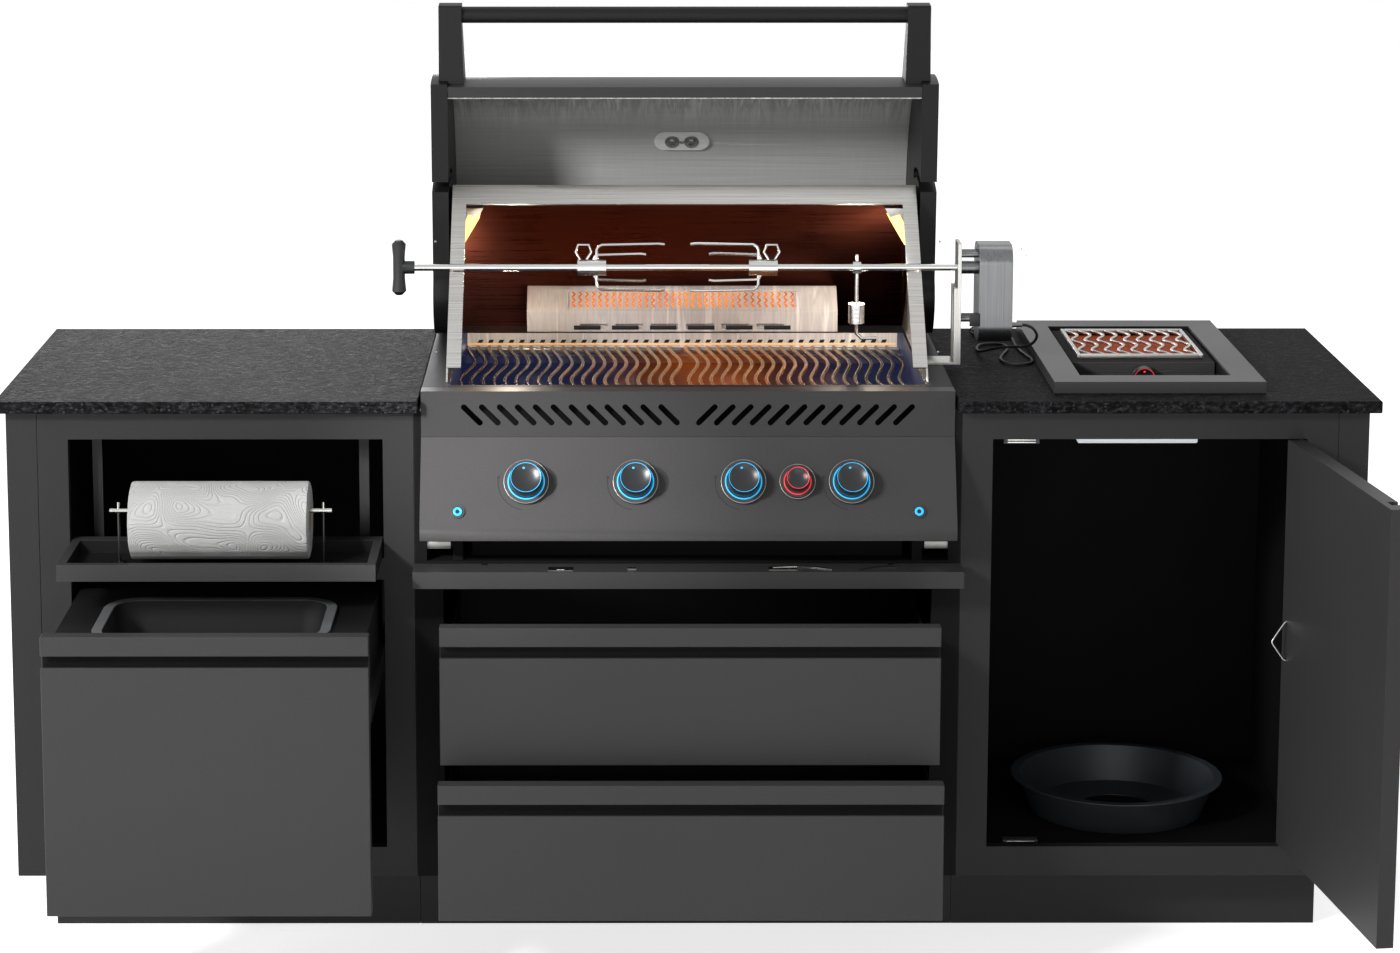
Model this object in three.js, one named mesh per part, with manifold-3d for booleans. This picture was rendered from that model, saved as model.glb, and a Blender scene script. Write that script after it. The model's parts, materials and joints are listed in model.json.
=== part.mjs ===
// An outdoor kitchen island: three cabinet modules, two stone worktops, a gas grill head with its
// rotisserie, and a side burner. Millimetres, +Z up, +X to the right of someone who stands in front.
// Lengths along Y are counted back from the cabinets' front plane until the last lines, which move the
// whole island so that its origin is on the floor, in the middle of the plinth.
import * as THREE from 'three';
import { mergeVertices } from 'three/addons/utils/BufferGeometryUtils.js';
import Module from 'manifold-3d';

const wasm = await Module();
wasm.setup();

// Clearances that every piece shares
const SEAT_GAP = 0.3;
const FRONT_GAP = 2.5;
const PIN_CLEARANCE = 0.4;
const OVERRUN = 1;

// Cabinet modules
const cabinet = {
  sideWidth: 610,
  centreWidth: 889,
  depth: 600,
  top: 894,
  plinthHeight: 110,
  plinthSetback: 78,
  board: 18,
  sheet: 20,
  backSheet: 6,
  stile: 50,
  centreStile: 46,
  topRail: 47,
  lowerRail: 50,
  centreLowerRail: 36,
  midRailLow: 613,
  midRail: 37,
  endPanel: 50,
};

// Stone worktops
const worktop = {
  thickness: 20,
  sideOverhang: 15,
  frontOverhang: 25,
  backOverhang: 35,
  headGap: 4,
};

// Door and drawer fronts, with the finger pull folded into the top of a drawer front
const front = {
  thickness: 27,
  pinRadius: 3,
  pinReach: 8,
  lip: 31,
  pullGap: 18,
  pullDepth: 16,
  skin: 3,
};

// Telescopic runners, in pairs: a channel on the cabinet and a member on the drawer
const runner = {
  height: 42,
  depth: 13,
  wall: 2,
  length: 520,
  start: 34,
};

// Left module
const towelPan = { rim: 14, depth: 20 };
const towelHolder = { rodRadius: 4, wireRadius: 2.2, rodHeight: 88, spread: 328, rodOverhang: 14, knob: 7 };
const towelRoll = { radius: 63.5, bore: 20, length: 286 };
const towelDoorOffset = 93;
const bin = {
  width: 374,
  depth: 262,
  wall: 2.5,
  corner: 46,
  taper: 22,
  height: 400,
  rimWidth: 14,
  rimThickness: 5,
  rimDrop: 14,
};
const binDrawer = { travel: 344, frameSheet: 2.5, depth: 420, runnerShare: 0.72, sideRoom: 8, binSetback: 9 };

// Centre module
const flap = { reach: 71, thickness: 28, top: 644, earRadius: 9, earWidth: 10, earSpread: 330, pin: 2.5 };
const shelf = { thickness: 16, rise: 1 };
const upperDrawer = { low: 374, high: 597, travel: 242, boxHeight: 150 };
const lowerDrawer = { low: 149, high: 368, travel: 328, boxHeight: 160 };
const drawerBox = { sheet: 2, length: 500, floorRise: 12 };
const catchBar = { low: 665, height: 16, inner: 366, leg: 16, depth: 20, setback: 6 };

// Grill head
const head = {
  width: 864,
  sheet: 3,
  ventLow: 852,
  deckTop: 927,
  ledge: 32,
  panelLow: 717,
  panelReach: 74,
  panelBack: 4.2,
  skirt: 21,
  skirtReturn: 14,
  backInset: 10,
  deckSheet: 3,
  tubHalfWidth: 392,
  tubFront: 46,
  tubBackInset: 65,
  tubFloor: 730,
  tubSheet: 4,
  drain: 150,
  rail: 14,
  get back() {
    return cabinet.depth - this.backInset;
  },
  get tubBack() {
    return this.back - this.tubBackInset;
  },
};
const vent = { slots: 12, pitch: 29, length: 46, width: 9.4, first: 30.5, heightShare: 0.48 };
const grid = {
  width: 379,
  front: 62,
  backGap: 2,
  top: 905,
  rod: 7.5,
  rods: 20,
  wave: 9,
  halfWaves: 3,
  stepsPerHalfWave: 2,
  barRadius: 4,
  gap: 4,
  get depth() {
    return head.tubBack - head.tubSheet - this.backGap - this.front;
  },
};
const burner = { radius: 13, height: 800, inset: 26, crossover: 10 };
const searPlate = { half: 60, rise: 30, sheet: 2.5, low: 832, inset: 6 };
const dripTray = {
  halfWidth: 352,
  height: 38,
  sheet: 2,
  front: 34,
  backInset: 30,
  get back() {
    return head.back - this.backInset;
  },
};
const rearBurner = {
  width: 547,
  reach: 60,
  knee: 964,
  top: 1000,
  slopeDepth: 43,
  window: 402,
  windowDepth: 4,
  windowShare: 0.16,
  slots: 6,
  slotWidth: 48,
  slotHeight: 9,
  slotPitch: 62,
  slotRise: 5,
  slotDepth: 6,
  get front() {
    return head.back - this.reach;
  },
};

// Fixed hood: side walls, slanted flanges, front beam and rear wall
const hood = {
  width: 790,
  sheet: 3,
  flange: 24,
  footFront: 90,
  foot: 948,
  browInset: 58,
  browHeight: 1210,
  beam: 42,
  toe: 18,
  wallTop: 1172,
  lampWidth: 50,
  lampFoot: 14,
  lampHeight: 64,
  lampDepth: 60,
  lampInset: 5,
  get brow() {
    return lid.pivotDepth - this.browInset;
  },
  get lampBack() {
    return lid.pivotDepth + this.lampInset;
  },
};

// Lid, drawn closed: its outline is given by directions from its pivot, in degrees above the horizontal
// that points to the front, with the distance to the outer skin for each
const lid = {
  pivotInset: 155,
  pivotHeight: 1012,
  openAngle: 85.7,
  outline: [
    [-9.4, 380],
    [0, 378],
    [10, 374],
    [20, 368],
    [30, 357],
    [40, 338],
    [50, 317],
    [60, 297],
    [70, 281],
    [80, 270],
    [90, 264],
    [102, 262],
    [114, 262],
  ],
  skin: 3,
  linerGap: 19,
  linerSkin: 2,
  capInner: 402,
  capOuter: 430,
  capLip: 5,
  heelRadius: 69,
  waistDepth: 75,
  waistRise: 28,
  studRadius: 9,
  bossRadius: 22,
  slotHalf: 8.5,
  slotOverrun: 12,
  slotSteps: 10,
  heelTurn: 2.2,
  heelSteps: 8,
  steps: 30,
  get pivotDepth() {
    return head.back - this.pivotInset;
  },
};
const lidHandle = {
  radius: 14,
  reach: 112,
  rise: -9,
  footInner: 373,
  headInner: 378,
  headOuter: 417,
  foot: 84,
  head: 40,
  crown: 4,
};
const gauge = { radius: 36, length: 98, height: 38, depth: 9, boss: 4, stem: 8, seat: 0.6, bossSeat: 1.2, bezel: 3, direction: 45 };

// Rotisserie
const spit = { depth: 240, height: 1090, radius: 6, left: -476, right: 480, clearance: 0.5 };
const spitHandle = { length: 92, depth: 30, left: -492, right: -468, bow: 4, ferruleRadius: 11, ferrule: 14 };
const fork = {
  leftX: -149,
  rightX: 122,
  collarRadius: 14,
  collarOut: 32,
  collarIn: 16,
  prongRadius: 2.6,
  sides: 5,
  outerSpread: 38,
  innerSpread: 21,
  outerLength: 114,
  innerLength: 88,
  splay: 2,
  wingFoot: 22,
  wingHeight: 38,
  wingWidth: 26,
  wingRadius: 2,
  corner: 9,
};
const counterweight = {
  x: 287,
  collar: 10.5,
  collarLength: 14,
  rod: 3,
  bobTop: 62,
  bob: 13.5,
  bobLength: 33,
  reach: 121,
  foot: 34,
  screw: 3,
  screwReach: 22,
};
const motorBracket = {
  x: 455,
  thickness: 6,
  rise: 42,
  width: 58,
  footInner: 406,
  foot: 4,
  rib: 12,
  ribDrop: 33,
  get top() {
    return spit.height + this.rise;
  },
  get ribTop() {
    return spit.height - this.ribDrop;
  },
};
const motor = {
  left: 489,
  right: 545,
  width: 96,
  drop: 124,
  rise: 40,
  corner: 30,
  backShift: 10,
  post: 5,
  postSpread: 30,
  postDrop: 87,
  postRise: 22,
  hub: 11,
  hubWall: 4,
  get low() {
    return spit.height - this.drop;
  },
  get high() {
    return spit.height + this.rise;
  },
  get postLow() {
    return spit.height - this.postDrop;
  },
  get postHigh() {
    return spit.height + this.postRise;
  },
};

// The motor's power cord: it leaves the motor's right side, makes one hanging loop, lies on the
// worktop, and its spare length is wound behind the motor. The coil winds inwards on the worktop, climbs
// in the last quarter turn of each layer, winds outwards, and ends in a tail across its top to the plug.
const cord = {
  radius: 2.5,
  sides: 6,
  steps: 60,
  reliefRadius: 5.5,
  reliefTip: 3.6,
  reliefLength: 22,
  exitShift: 10,
  exitDrop: 100,
  endGap: 0.7,
  coilX: 547,
  coilDepth: 580,
  coilOuter: 32,
  coilPitch: 5.8,
  layerPitch: 5.6,
  layers: 2,
  turnsPerLayer: 2,
  climbShare: 0.25,
  tailRadius: 21,
  tailTurn: 0.5,
  stepsPerTurn: 24,
  coilSides: 6,
  get exitDepth() {
    return spit.depth + this.exitShift;
  },
  get exitHeight() {
    return spit.height - this.exitDrop;
  },
  route: [
    [567.3, 250, 990],
    [575, 250.5, 989],
    [586, 253, 983],
    [593, 258, 970],
    [588, 265, 957],
    [575, 274, 949],
    [558, 286, 946],
    [540, 302, 942],
    [525, 324, 935],
    [515, 350, 927],
    [509, 380, 920.5],
    [508, 410, 917.2],
    [511, 440, 916.8],
    [521, 464, 916.8],
    [539, 473, 916.8],
    [556, 464, 916.8],
    [563, 442, 916.8],
    [560, 412, 916.8],
    [551, 380, 916.8],
    [543, 348, 916.8],
    [540, 318, 916.8],
    [546, 292, 916.8],
    [566, 280, 916.8],
    [586, 291, 916.8],
    [593, 318, 916.8],
    [590, 350, 916.8],
    [584, 390, 916.8],
    [580, 430, 916.8],
    [579, 470, 916.8],
    [580, 510, 916.8],
    [579, 545, 916.8],
    [579, 579.7, 916.8],
  ],
};
const plug = { length: 40, width: 24, thickness: 15, blade: 17, bladeWidth: 6.3, bladeThickness: 1.6, bladeSpread: 6.4, neck: 0.55 };

// Controls
const knobPlaces = [-261, -85, 89, 263];
const knob = { bezel: 37, bezelHeight: 7, radius: 27, height: 34, crown: 8, stem: 4, seat: 1.5, rim: 1.5 };
const rearKnob = { x: 176, bezel: 28, bezelHeight: 7, radius: 20.5, height: 30, crown: 7, stem: 4, seat: 1.5, rim: 1.5 };
const panelButton = { x: 371, radius: 8, height: 4, collar: 11.5, collarHeight: 2.5, share: 0.82, tail: 8, flange: 10 };
const knobShare = 0.5;

// Right module and side burner
const gasDoor = { openAngle: 97, axisInset: 6 };
const tankRing = { radius: 182, height: 62, rim: 12, hole: 66, sheet: 3, x: 749.5, depth: 300, taper: 34 };
const louvre = { rows: 5, width: 90, height: 6, pitch: 16, low: 330, offset: 90 };
const sideBurner = {
  x: 770,
  width: 346,
  front: 38,
  backMargin: 29,
  rise: 20,
  lip: 40,
  sheet: 3,
  wellHalf: 124,
  wellFront: 58,
  wellBack: 61,
  panDrop: 60,
  panFlange: 6,
  boxSetback: 142,
  boxSide: 3,
  boxBack: 5,
  boxDrop: 6,
  windowWidth: 207,
  windowDepth: 234,
  windowSetback: 34,
  plateDrop: 28,
  inlet: 60,
  get depth() {
    return cabinet.depth + worktop.backOverhang - this.backMargin - this.front;
  },
  get wellDepth() {
    return this.depth - this.wellFront - this.wellBack;
  },
};
const sideGrid = { bar: 4, rod: 2.6, rods: 9, wave: 8, halfWaves: 5, steps: 2, overlap: 3 };
const sideKnob = { radius: 19.5, height: 24, crown: 6, stem: 4, seat: 1.5, drop: 23 };

// Derived places
const centreHalf = cabinet.centreWidth / 2;
const sideOuter = centreHalf + cabinet.sideWidth;
const sideMiddle = centreHalf + cabinet.sideWidth / 2;
const worktopTop = cabinet.top + worktop.thickness;
const openingTop = cabinet.top - cabinet.topRail;
const plinthMiddle = (cabinet.plinthSetback + cabinet.depth) / 2;

const island = new THREE.Group();
const finishes = {
  steel: { color: 0x2f2f31, roughness: 0.55, metalness: 0.3 },
  darkSteel: { color: 0x1a1a1b, roughness: 0.6, metalness: 0.3 },
  castAluminium: { color: 0x262628, roughness: 0.6, metalness: 0.3 },
  stone: { color: 0x3a3a3b, roughness: 0.5, metalness: 0 },
  stainless: { color: 0xb9b9b7, roughness: 0.3, metalness: 1 },
  blackPlastic: { color: 0x141415, roughness: 0.5, metalness: 0 },
  greyPlastic: { color: 0x6f6f72, roughness: 0.6, metalness: 0 },
  bluePlastic: { color: 0x2aa7e8, roughness: 0.3, metalness: 0 },
  paper: { color: 0xededed, roughness: 0.9, metalness: 0 },
  rubber: { color: 0x121212, roughness: 0.8, metalness: 0 },
};

// A closed three.js geometry as a solid, with its faces turned outwards. Its corners are rounded to a
// grid that single precision holds exactly, so that two faces meant to lie in one plane do.
const GRID_STEPS = 1024;

function toSolid(geometry) {
  const bare = geometry.index ? geometry.toNonIndexed() : geometry.clone();
  bare.deleteAttribute('normal');
  bare.deleteAttribute('uv');
  const corners = bare.attributes.position.array;
  for (let i = 0; i < corners.length; i += 1) corners[i] = Math.round(corners[i] * GRID_STEPS) / GRID_STEPS;
  const merged = mergeVertices(bare);
  const triVerts = new Uint32Array(merged.index.array);
  const vertProperties = new Float32Array(merged.attributes.position.array);
  const made = new wasm.Manifold(new wasm.Mesh({ numProp: 3, vertProperties, triVerts }));
  if (made.volume() >= 0) return made;
  for (let i = 0; i < triVerts.length; i += 3) {
    [triVerts[i + 1], triVerts[i + 2]] = [triVerts[i + 2], triVerts[i + 1]];
  }
  return new wasm.Manifold(new wasm.Mesh({ numProp: 3, vertProperties, triVerts }));
}

function joined(list) {
  return list.reduce((whole, piece) => whole.add(piece));
}

function cut(solid, list) {
  return list.reduce((left, piece) => left.subtract(piece), solid);
}

// A mesh in its group, from a solid, without the corners that joins and cuts leave inside flat faces
const FLATNESS = 0.002;

function put(name, solid, finish, group = island) {
  const data = solid.asOriginal().simplify(FLATNESS).getMesh();
  const geometry = new THREE.BufferGeometry();
  const stride = data.numProp;
  const positions = new Float32Array((data.vertProperties.length / stride) * 3);
  for (let i = 0; i < positions.length / 3; i += 1) {
    positions.set(data.vertProperties.subarray(i * stride, i * stride + 3), i * 3);
  }
  geometry.setAttribute('position', new THREE.BufferAttribute(positions, 3));
  geometry.setIndex(new THREE.BufferAttribute(new Uint32Array(data.triVerts), 1));
  geometry.computeVertexNormals();
  const mesh = new THREE.Mesh(geometry, new THREE.MeshStandardMaterial(finish));
  mesh.name = name;
  group.add(mesh);
  return mesh;
}

function box(x0, x1, y0, y1, z0, z1) {
  const geometry = new THREE.BoxGeometry(x1 - x0, y1 - y0, z1 - z0);
  geometry.translate((x0 + x1) / 2, (y0 + y1) / 2, (z0 + z1) / 2);
  return toSolid(geometry);
}

// An outline drawn square to an axis and drawn out along it. The outline's two numbers are (y, z) for
// x, (x, z) for y and (x, y) for z.
function prism(axis, outline, from, to) {
  const shape = outline instanceof THREE.Shape ? outline : new THREE.Shape(outline.map(([a, b]) => new THREE.Vector2(a, b)));
  const geometry = new THREE.ExtrudeGeometry(shape, { depth: to - from, bevelEnabled: false, curveSegments: 6 });
  if (axis === 'x') {
    geometry.applyMatrix4(new THREE.Matrix4().set(0, 0, 1, from, 1, 0, 0, 0, 0, 1, 0, 0, 0, 0, 0, 1));
  }
  if (axis === 'y') {
    geometry.applyMatrix4(new THREE.Matrix4().set(1, 0, 0, 0, 0, 0, -1, to, 0, 1, 0, 0, 0, 0, 0, 1));
  }
  if (axis === 'z') geometry.translate(0, 0, from);
  return toSolid(geometry);
}

// A revolved profile of [radius, height] pairs, turned from +Y to the given axis
function turned(axis, profile, sides) {
  const points = profile.map(([r, h]) => new THREE.Vector2(r, h));
  const geometry = new THREE.LatheGeometry(points, sides);
  if (axis === 'x') geometry.rotateZ(-Math.PI / 2);
  if (axis === 'z') geometry.rotateX(Math.PI / 2);
  return geometry;
}

function revolved(axis, profile, sides, x, y, z) {
  const geometry = turned(axis, profile, sides);
  geometry.translate(x, y, z);
  return toSolid(geometry);
}

// A round bar along an axis: the place gives the coordinates square to it
function bar(axis, radius, from, to, place, sides = 16) {
  const [a, b] = place;
  const at = { x: [0, a, b], y: [a, 0, b], z: [a, b, 0] }[axis];
  return revolved(axis, [[0, from], [radius, from], [radius, to], [0, to]], sides, ...at);
}

function ringAlong(axis, inner, outer, from, to, place, sides = 24) {
  const [a, b] = place;
  const at = { x: [0, a, b], y: [a, 0, b], z: [a, b, 0] }[axis];
  return revolved(axis, [[inner, from], [outer, from], [outer, to], [inner, to], [inner, from]], sides, ...at);
}

function roundedRectangle(width, height, radius, cx = 0, cy = 0) {
  const shape = new THREE.Shape();
  const x = width / 2;
  const y = height / 2;
  shape.moveTo(cx - x + radius, cy - y);
  shape.lineTo(cx + x - radius, cy - y);
  shape.absarc(cx + x - radius, cy - y + radius, radius, -Math.PI / 2, 0);
  shape.lineTo(cx + x, cy + y - radius);
  shape.absarc(cx + x - radius, cy + y - radius, radius, 0, Math.PI / 2);
  shape.lineTo(cx - x + radius, cy + y);
  shape.absarc(cx - x + radius, cy + y - radius, radius, Math.PI / 2, Math.PI);
  shape.lineTo(cx - x, cy - y + radius);
  shape.absarc(cx - x + radius, cy - y + radius, radius, Math.PI, 1.5 * Math.PI);
  return shape;
}

// A stack of rings with as many points each, closed by a flat cap at both ends
function lofted(rings) {
  const count = rings[0].length;
  const positions = rings.flat().flat();
  const index = [];
  for (let r = 0; r < rings.length - 1; r += 1) {
    for (let i = 0; i < count; i += 1) {
      const a = r * count + i;
      const b = r * count + ((i + 1) % count);
      index.push(a, b, b + count, a, b + count, a + count);
    }
  }
  const last = (rings.length - 1) * count;
  for (let i = 1; i < count - 1; i += 1) {
    index.push(0, i + 1, i, last, last + i, last + i + 1);
  }
  const geometry = new THREE.BufferGeometry();
  geometry.setAttribute('position', new THREE.Float32BufferAttribute(positions, 3));
  geometry.setIndex(index);
  return toSolid(geometry);
}

// A round bar bent through a list of points, mitred at each
function bent(points, radius, sides) {
  const path = points.map((p) => new THREE.Vector3(...p));
  const directions = path.slice(1).map((p, i) => p.clone().sub(path[i]).normalize());
  let across = new THREE.Vector3(0, 0, 1);
  if (Math.abs(directions[0].z) > 0.9) across = new THREE.Vector3(1, 0, 0);
  const rings = path.map((p, i) => {
    const before = directions[Math.max(i - 1, 0)];
    const after = directions[Math.min(i, directions.length - 1)];
    const tangent = before.clone().add(after).normalize();
    across.sub(before.clone().multiplyScalar(across.dot(before))).normalize();
    const side = new THREE.Vector3().crossVectors(before, across);
    return Array.from({ length: sides }, (_, k) => {
      const angle = (2 * Math.PI * k) / sides;
      const spoke = across.clone().multiplyScalar(Math.cos(angle)).addScaledVector(side, Math.sin(angle));
      const slide = -spoke.dot(tangent) / before.dot(tangent);
      return p.clone().addScaledVector(spoke, radius).addScaledVector(before, slide * radius).toArray();
    });
  });
  return lofted(rings);
}

// A group turned about a line along X through (y, z)
function turnedGroup(y, z, degrees) {
  const outer = new THREE.Group();
  outer.position.set(0, y, z);
  outer.rotation.x = THREE.MathUtils.degToRad(degrees);
  const inner = new THREE.Group();
  inner.position.set(0, -y, -z);
  outer.add(inner);
  island.add(outer);
  return inner;
}

function slidGroup(distance) {
  const group = new THREE.Group();
  group.position.y = -distance;
  island.add(group);
  return group;
}

// Cabinets

// The channel that a runner's drawer member slides in, open towards the drawer; side is -1 or 1
function runnerChannel(wallX, drawerX, z, side) {
  const half = runner.height / 2;
  const inner = half - runner.wall;
  const mouth = drawerX + side * SEAT_GAP;
  const web = mouth + side * (runner.depth - runner.wall);
  const outline = [
    [mouth, z - half], [wallX, z - half], [wallX, z + half], [mouth, z + half],
    [mouth, z + inner], [web, z + inner], [web, z - inner], [mouth, z - inner],
  ];
  return prism('y', outline, runner.start, runner.start + runner.length);
}

// The drawer's member, which runs inside the channel
function runnerMember(drawerX, z, side, from, to) {
  const half = runner.height / 2 - runner.wall - SEAT_GAP;
  const reach = drawerX + side * (runner.depth - runner.wall - SEAT_GAP);
  return box(Math.min(drawerX, reach), Math.max(drawerX, reach), from, to, z - half, z + half);
}

// Case of one module: floor, sides, back, front frame and the plinth it stands on
function moduleCase(x0, x1, top, sideTop) {
  const { depth, plinthHeight, plinthSetback, board, sheet, backSheet } = cabinet;
  const plinthTop = plinthHeight + sheet / 2;
  return joined([
    box(x0, x0 + sheet, 0, depth, plinthHeight, sideTop),
    box(x1 - sheet, x1, 0, depth, plinthHeight, sideTop),
    box(x0, x1, depth - backSheet, depth, plinthHeight, sideTop),
    box(x0, x1, 0, depth, plinthHeight, plinthHeight + sheet),
    box(x0, x1, plinthSetback, plinthSetback + board, 0, plinthTop),
    box(x0, x1, depth - board, depth, 0, plinthTop),
    box(x0, x0 + board, plinthSetback, depth, 0, plinthTop),
    box(x1 - board, x1, plinthSetback, depth, 0, plinthTop),
  ]);
}

function faceFrame(x0, x1, stile, top, rails) {
  const { sheet, plinthHeight } = cabinet;
  const stiles = [
    box(x0, x0 + stile, 0, sheet, plinthHeight, top),
    box(x1 - stile, x1, 0, sheet, plinthHeight, top),
  ];
  return joined(stiles.concat(rails.map(([low, high]) => box(x0, x1, 0, sheet, low, high))));
}

const lowerRailTop = cabinet.plinthHeight + cabinet.lowerRail;
const leftFrom = -sideOuter + SEAT_GAP / 2;
const leftTo = -centreHalf - SEAT_GAP / 2;
const towelDoorLow = cabinet.midRailLow + cabinet.midRail + FRONT_GAP;
const towelDoorHigh = openingTop - FRONT_GAP;
const towelPin = { depth: front.thickness / 2, height: towelDoorLow + front.thickness / 2 };
const frontHalf = (cabinet.sideWidth - 2 * cabinet.stile) / 2 - FRONT_GAP;
const binFront = { low: lowerRailTop + FRONT_GAP, high: cabinet.midRailLow - FRONT_GAP };
const binRunnerHeight = binFront.low + (binFront.high - binFront.low) * binDrawer.runnerShare;
const binFrameHalf = frontHalf - binDrawer.sideRoom;

function leftCarcass() {
  const solid = moduleCase(leftFrom, leftTo, cabinet.top, cabinet.top)
    .add(faceFrame(leftFrom, leftTo, cabinet.stile, cabinet.top, [
      [cabinet.plinthHeight, lowerRailTop],
      [cabinet.midRailLow, cabinet.midRailLow + cabinet.midRail],
      [openingTop, cabinet.top],
    ]));
  const channels = [-1, 1].map((side) => runnerChannel(
    -sideMiddle + side * (cabinet.sideWidth / 2 - cabinet.sheet),
    -sideMiddle + side * binFrameHalf,
    binRunnerHeight,
    side,
  ));
  const bores = [-1, 1].map((side) => {
    const inner = -sideMiddle + side * frontHalf;
    const outer = inner + side * (FRONT_GAP + front.pinReach + PIN_CLEARANCE);
    const place = [towelPin.depth, towelPin.height];
    return bar('x', front.pinRadius + PIN_CLEARANCE, Math.min(inner, outer), Math.max(inner, outer), place, 12);
  });
  return cut(solid.add(joined(channels)), bores);
}

function rightCarcass() {
  let solid = moduleCase(-leftTo, -leftFrom, cabinet.top, cabinet.top)
    .add(faceFrame(-leftTo, -leftFrom, cabinet.stile, cabinet.top, [
      [cabinet.plinthHeight, lowerRailTop],
      [openingTop, cabinet.top],
    ]));
  const slots = [];
  for (const side of [-1, 1]) {
    for (let row = 0; row < louvre.rows; row += 1) {
      const x = sideMiddle + side * louvre.offset;
      const z = louvre.low + row * louvre.pitch;
      slots.push(box(
        x - louvre.width / 2, x + louvre.width / 2,
        cabinet.depth - cabinet.backSheet - OVERRUN, cabinet.depth + OVERRUN,
        z, z + louvre.height,
      ));
    }
  }
  const bores = [
    [openingTop - OVERRUN, openingTop + front.pinReach + PIN_CLEARANCE],
    [lowerRailTop - front.pinReach - PIN_CLEARANCE, lowerRailTop + OVERRUN],
  ].map(([low, high]) => bar('z', front.pinRadius + PIN_CLEARANCE, low, high, gasAxis, 12));
  solid = cut(solid, slots.concat(bores));
  return solid;
}

const centreFrom = -centreHalf + SEAT_GAP / 2;
const centreTo = centreHalf - SEAT_GAP / 2;
const flapLow = flap.top - flap.thickness;
const flapPin = { depth: -flap.thickness / 2, height: flapLow + flap.thickness / 2 };
const shelfTop = flap.top + shelf.rise;
const drawerOpeningHalf = centreHalf - cabinet.centreStile;
const drawerFrontHalf = drawerOpeningHalf - FRONT_GAP * 2;
const drawerBoxHalf = drawerOpeningHalf - runner.depth;

function centreCarcass() {
  const { sheet, plinthHeight, centreLowerRail, board, depth, plinthSetback, backSheet } = cabinet;
  const railTop = plinthHeight + centreLowerRail;
  let solid = moduleCase(centreFrom, centreTo, cabinet.top, cabinet.top)
    .add(faceFrame(centreFrom, centreTo, cabinet.centreStile, shelfTop, [
      [plinthHeight, railTop],
      [upperDrawer.high + FRONT_GAP, shelfTop],
    ]));
  solid = solid.add(box(centreFrom, centreTo, 0, depth - backSheet / 2, shelfTop - shelf.thickness, shelfTop));
  // A bearer under the floor carries the grill's weight in the middle of the span
  solid = solid.add(box(-board * 2, board * 2, plinthSetback, depth, 0, plinthHeight + sheet / 2));
  const wall = centreHalf - sheet / 2;
  for (const side of [-1, 1]) {
    for (const drawer of [upperDrawer, lowerDrawer]) {
      const z = drawer.low + runner.height;
      solid = solid.add(runnerChannel(side * wall, side * drawerBoxHalf, z, side));
    }
    const x = [side * catchBar.inner, side * (catchBar.inner + catchBar.leg), side * wall];
    const from = catchBar.setback;
    const to = catchBar.setback + catchBar.depth;
    const top = catchBar.low + catchBar.height;
    solid = solid.add(box(Math.min(x[0], x[2]), Math.max(x[0], x[2]), from, to, catchBar.low, top));
    solid = solid.add(box(Math.min(x[0], x[1]), Math.max(x[0], x[1]), from, to, shelfTop - OVERRUN, top));
    solid = solid.add(flapEar(side * flap.earSpread));
  }
  return solid;
}

// A hinge ear of the flap: a round boss with the pin's bore, on a neck from the rail behind
function flapEar(x) {
  const place = [flapPin.depth, flapPin.height];
  const half = flap.earWidth / 2;
  const body = bar('x', flap.earRadius, x - half, x + half, place, 16)
    .add(box(x - half, x + half, flapPin.depth, cabinet.sheet / 2, flapPin.height - flap.earRadius, flapPin.height));
  return body.subtract(bar('x', flap.pin + PIN_CLEARANCE, x - half - OVERRUN, x + half + OVERRUN, place, 12));
}

function endPanel(side) {
  const inner = side * (sideOuter + SEAT_GAP / 2);
  const outer = side * (sideOuter + cabinet.endPanel);
  return box(
    Math.min(inner, outer), Math.max(inner, outer),
    0, cabinet.depth, cabinet.plinthHeight, cabinet.top,
  );
}

// Worktops: the right one has the opening that the side burner hangs in
const worktopOuter = sideOuter + cabinet.endPanel + worktop.sideOverhang;
const worktopInner = head.width / 2 + worktop.headGap;
const burnerOpeningHalf = sideBurner.width / 2 - sideBurner.lip;

function worktopSlab(side) {
  const x0 = side < 0 ? -worktopOuter : worktopInner;
  const x1 = side < 0 ? -worktopInner : worktopOuter;
  const slab = box(
    x0, x1, -worktop.frontOverhang, cabinet.depth + worktop.backOverhang,
    cabinet.top + SEAT_GAP, worktopTop,
  );
  if (side < 0) return slab;
  return slab.subtract(box(
    sideBurner.x - burnerOpeningHalf, sideBurner.x + burnerOpeningHalf,
    sideBurner.front + sideBurner.lip, sideBurner.front + sideBurner.depth - sideBurner.lip,
    cabinet.top - OVERRUN, worktopTop + OVERRUN,
  ));
}

// A drawer front: a folded panel with a lip at the top and a finger pull under it
function drawerFront(x, half, low, high) {
  const { thickness, lip, pullGap, pullDepth, skin } = front;
  const pullTop = high - lip;
  const pullLow = pullTop - pullGap;
  const outline = [
    [0, low], [thickness, low], [thickness, high], [0, high],
    [0, pullTop], [pullDepth, pullTop], [pullDepth, pullLow - skin], [skin * 2, pullLow - skin],
    [skin * 2, pullLow], [0, pullLow],
  ];
  return prism('x', outline, x - half, x + half);
}

// An open box of folded sheet behind a drawer front
function openBox(half, x, from, to, low, high, sheet, floorLow) {
  const outer = box(x - half, x + half, from, to, low, high);
  return outer.subtract(box(
    x - half + sheet, x + half - sheet, from + sheet, to - sheet, floorLow + sheet, high + OVERRUN,
  ));
}

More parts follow.
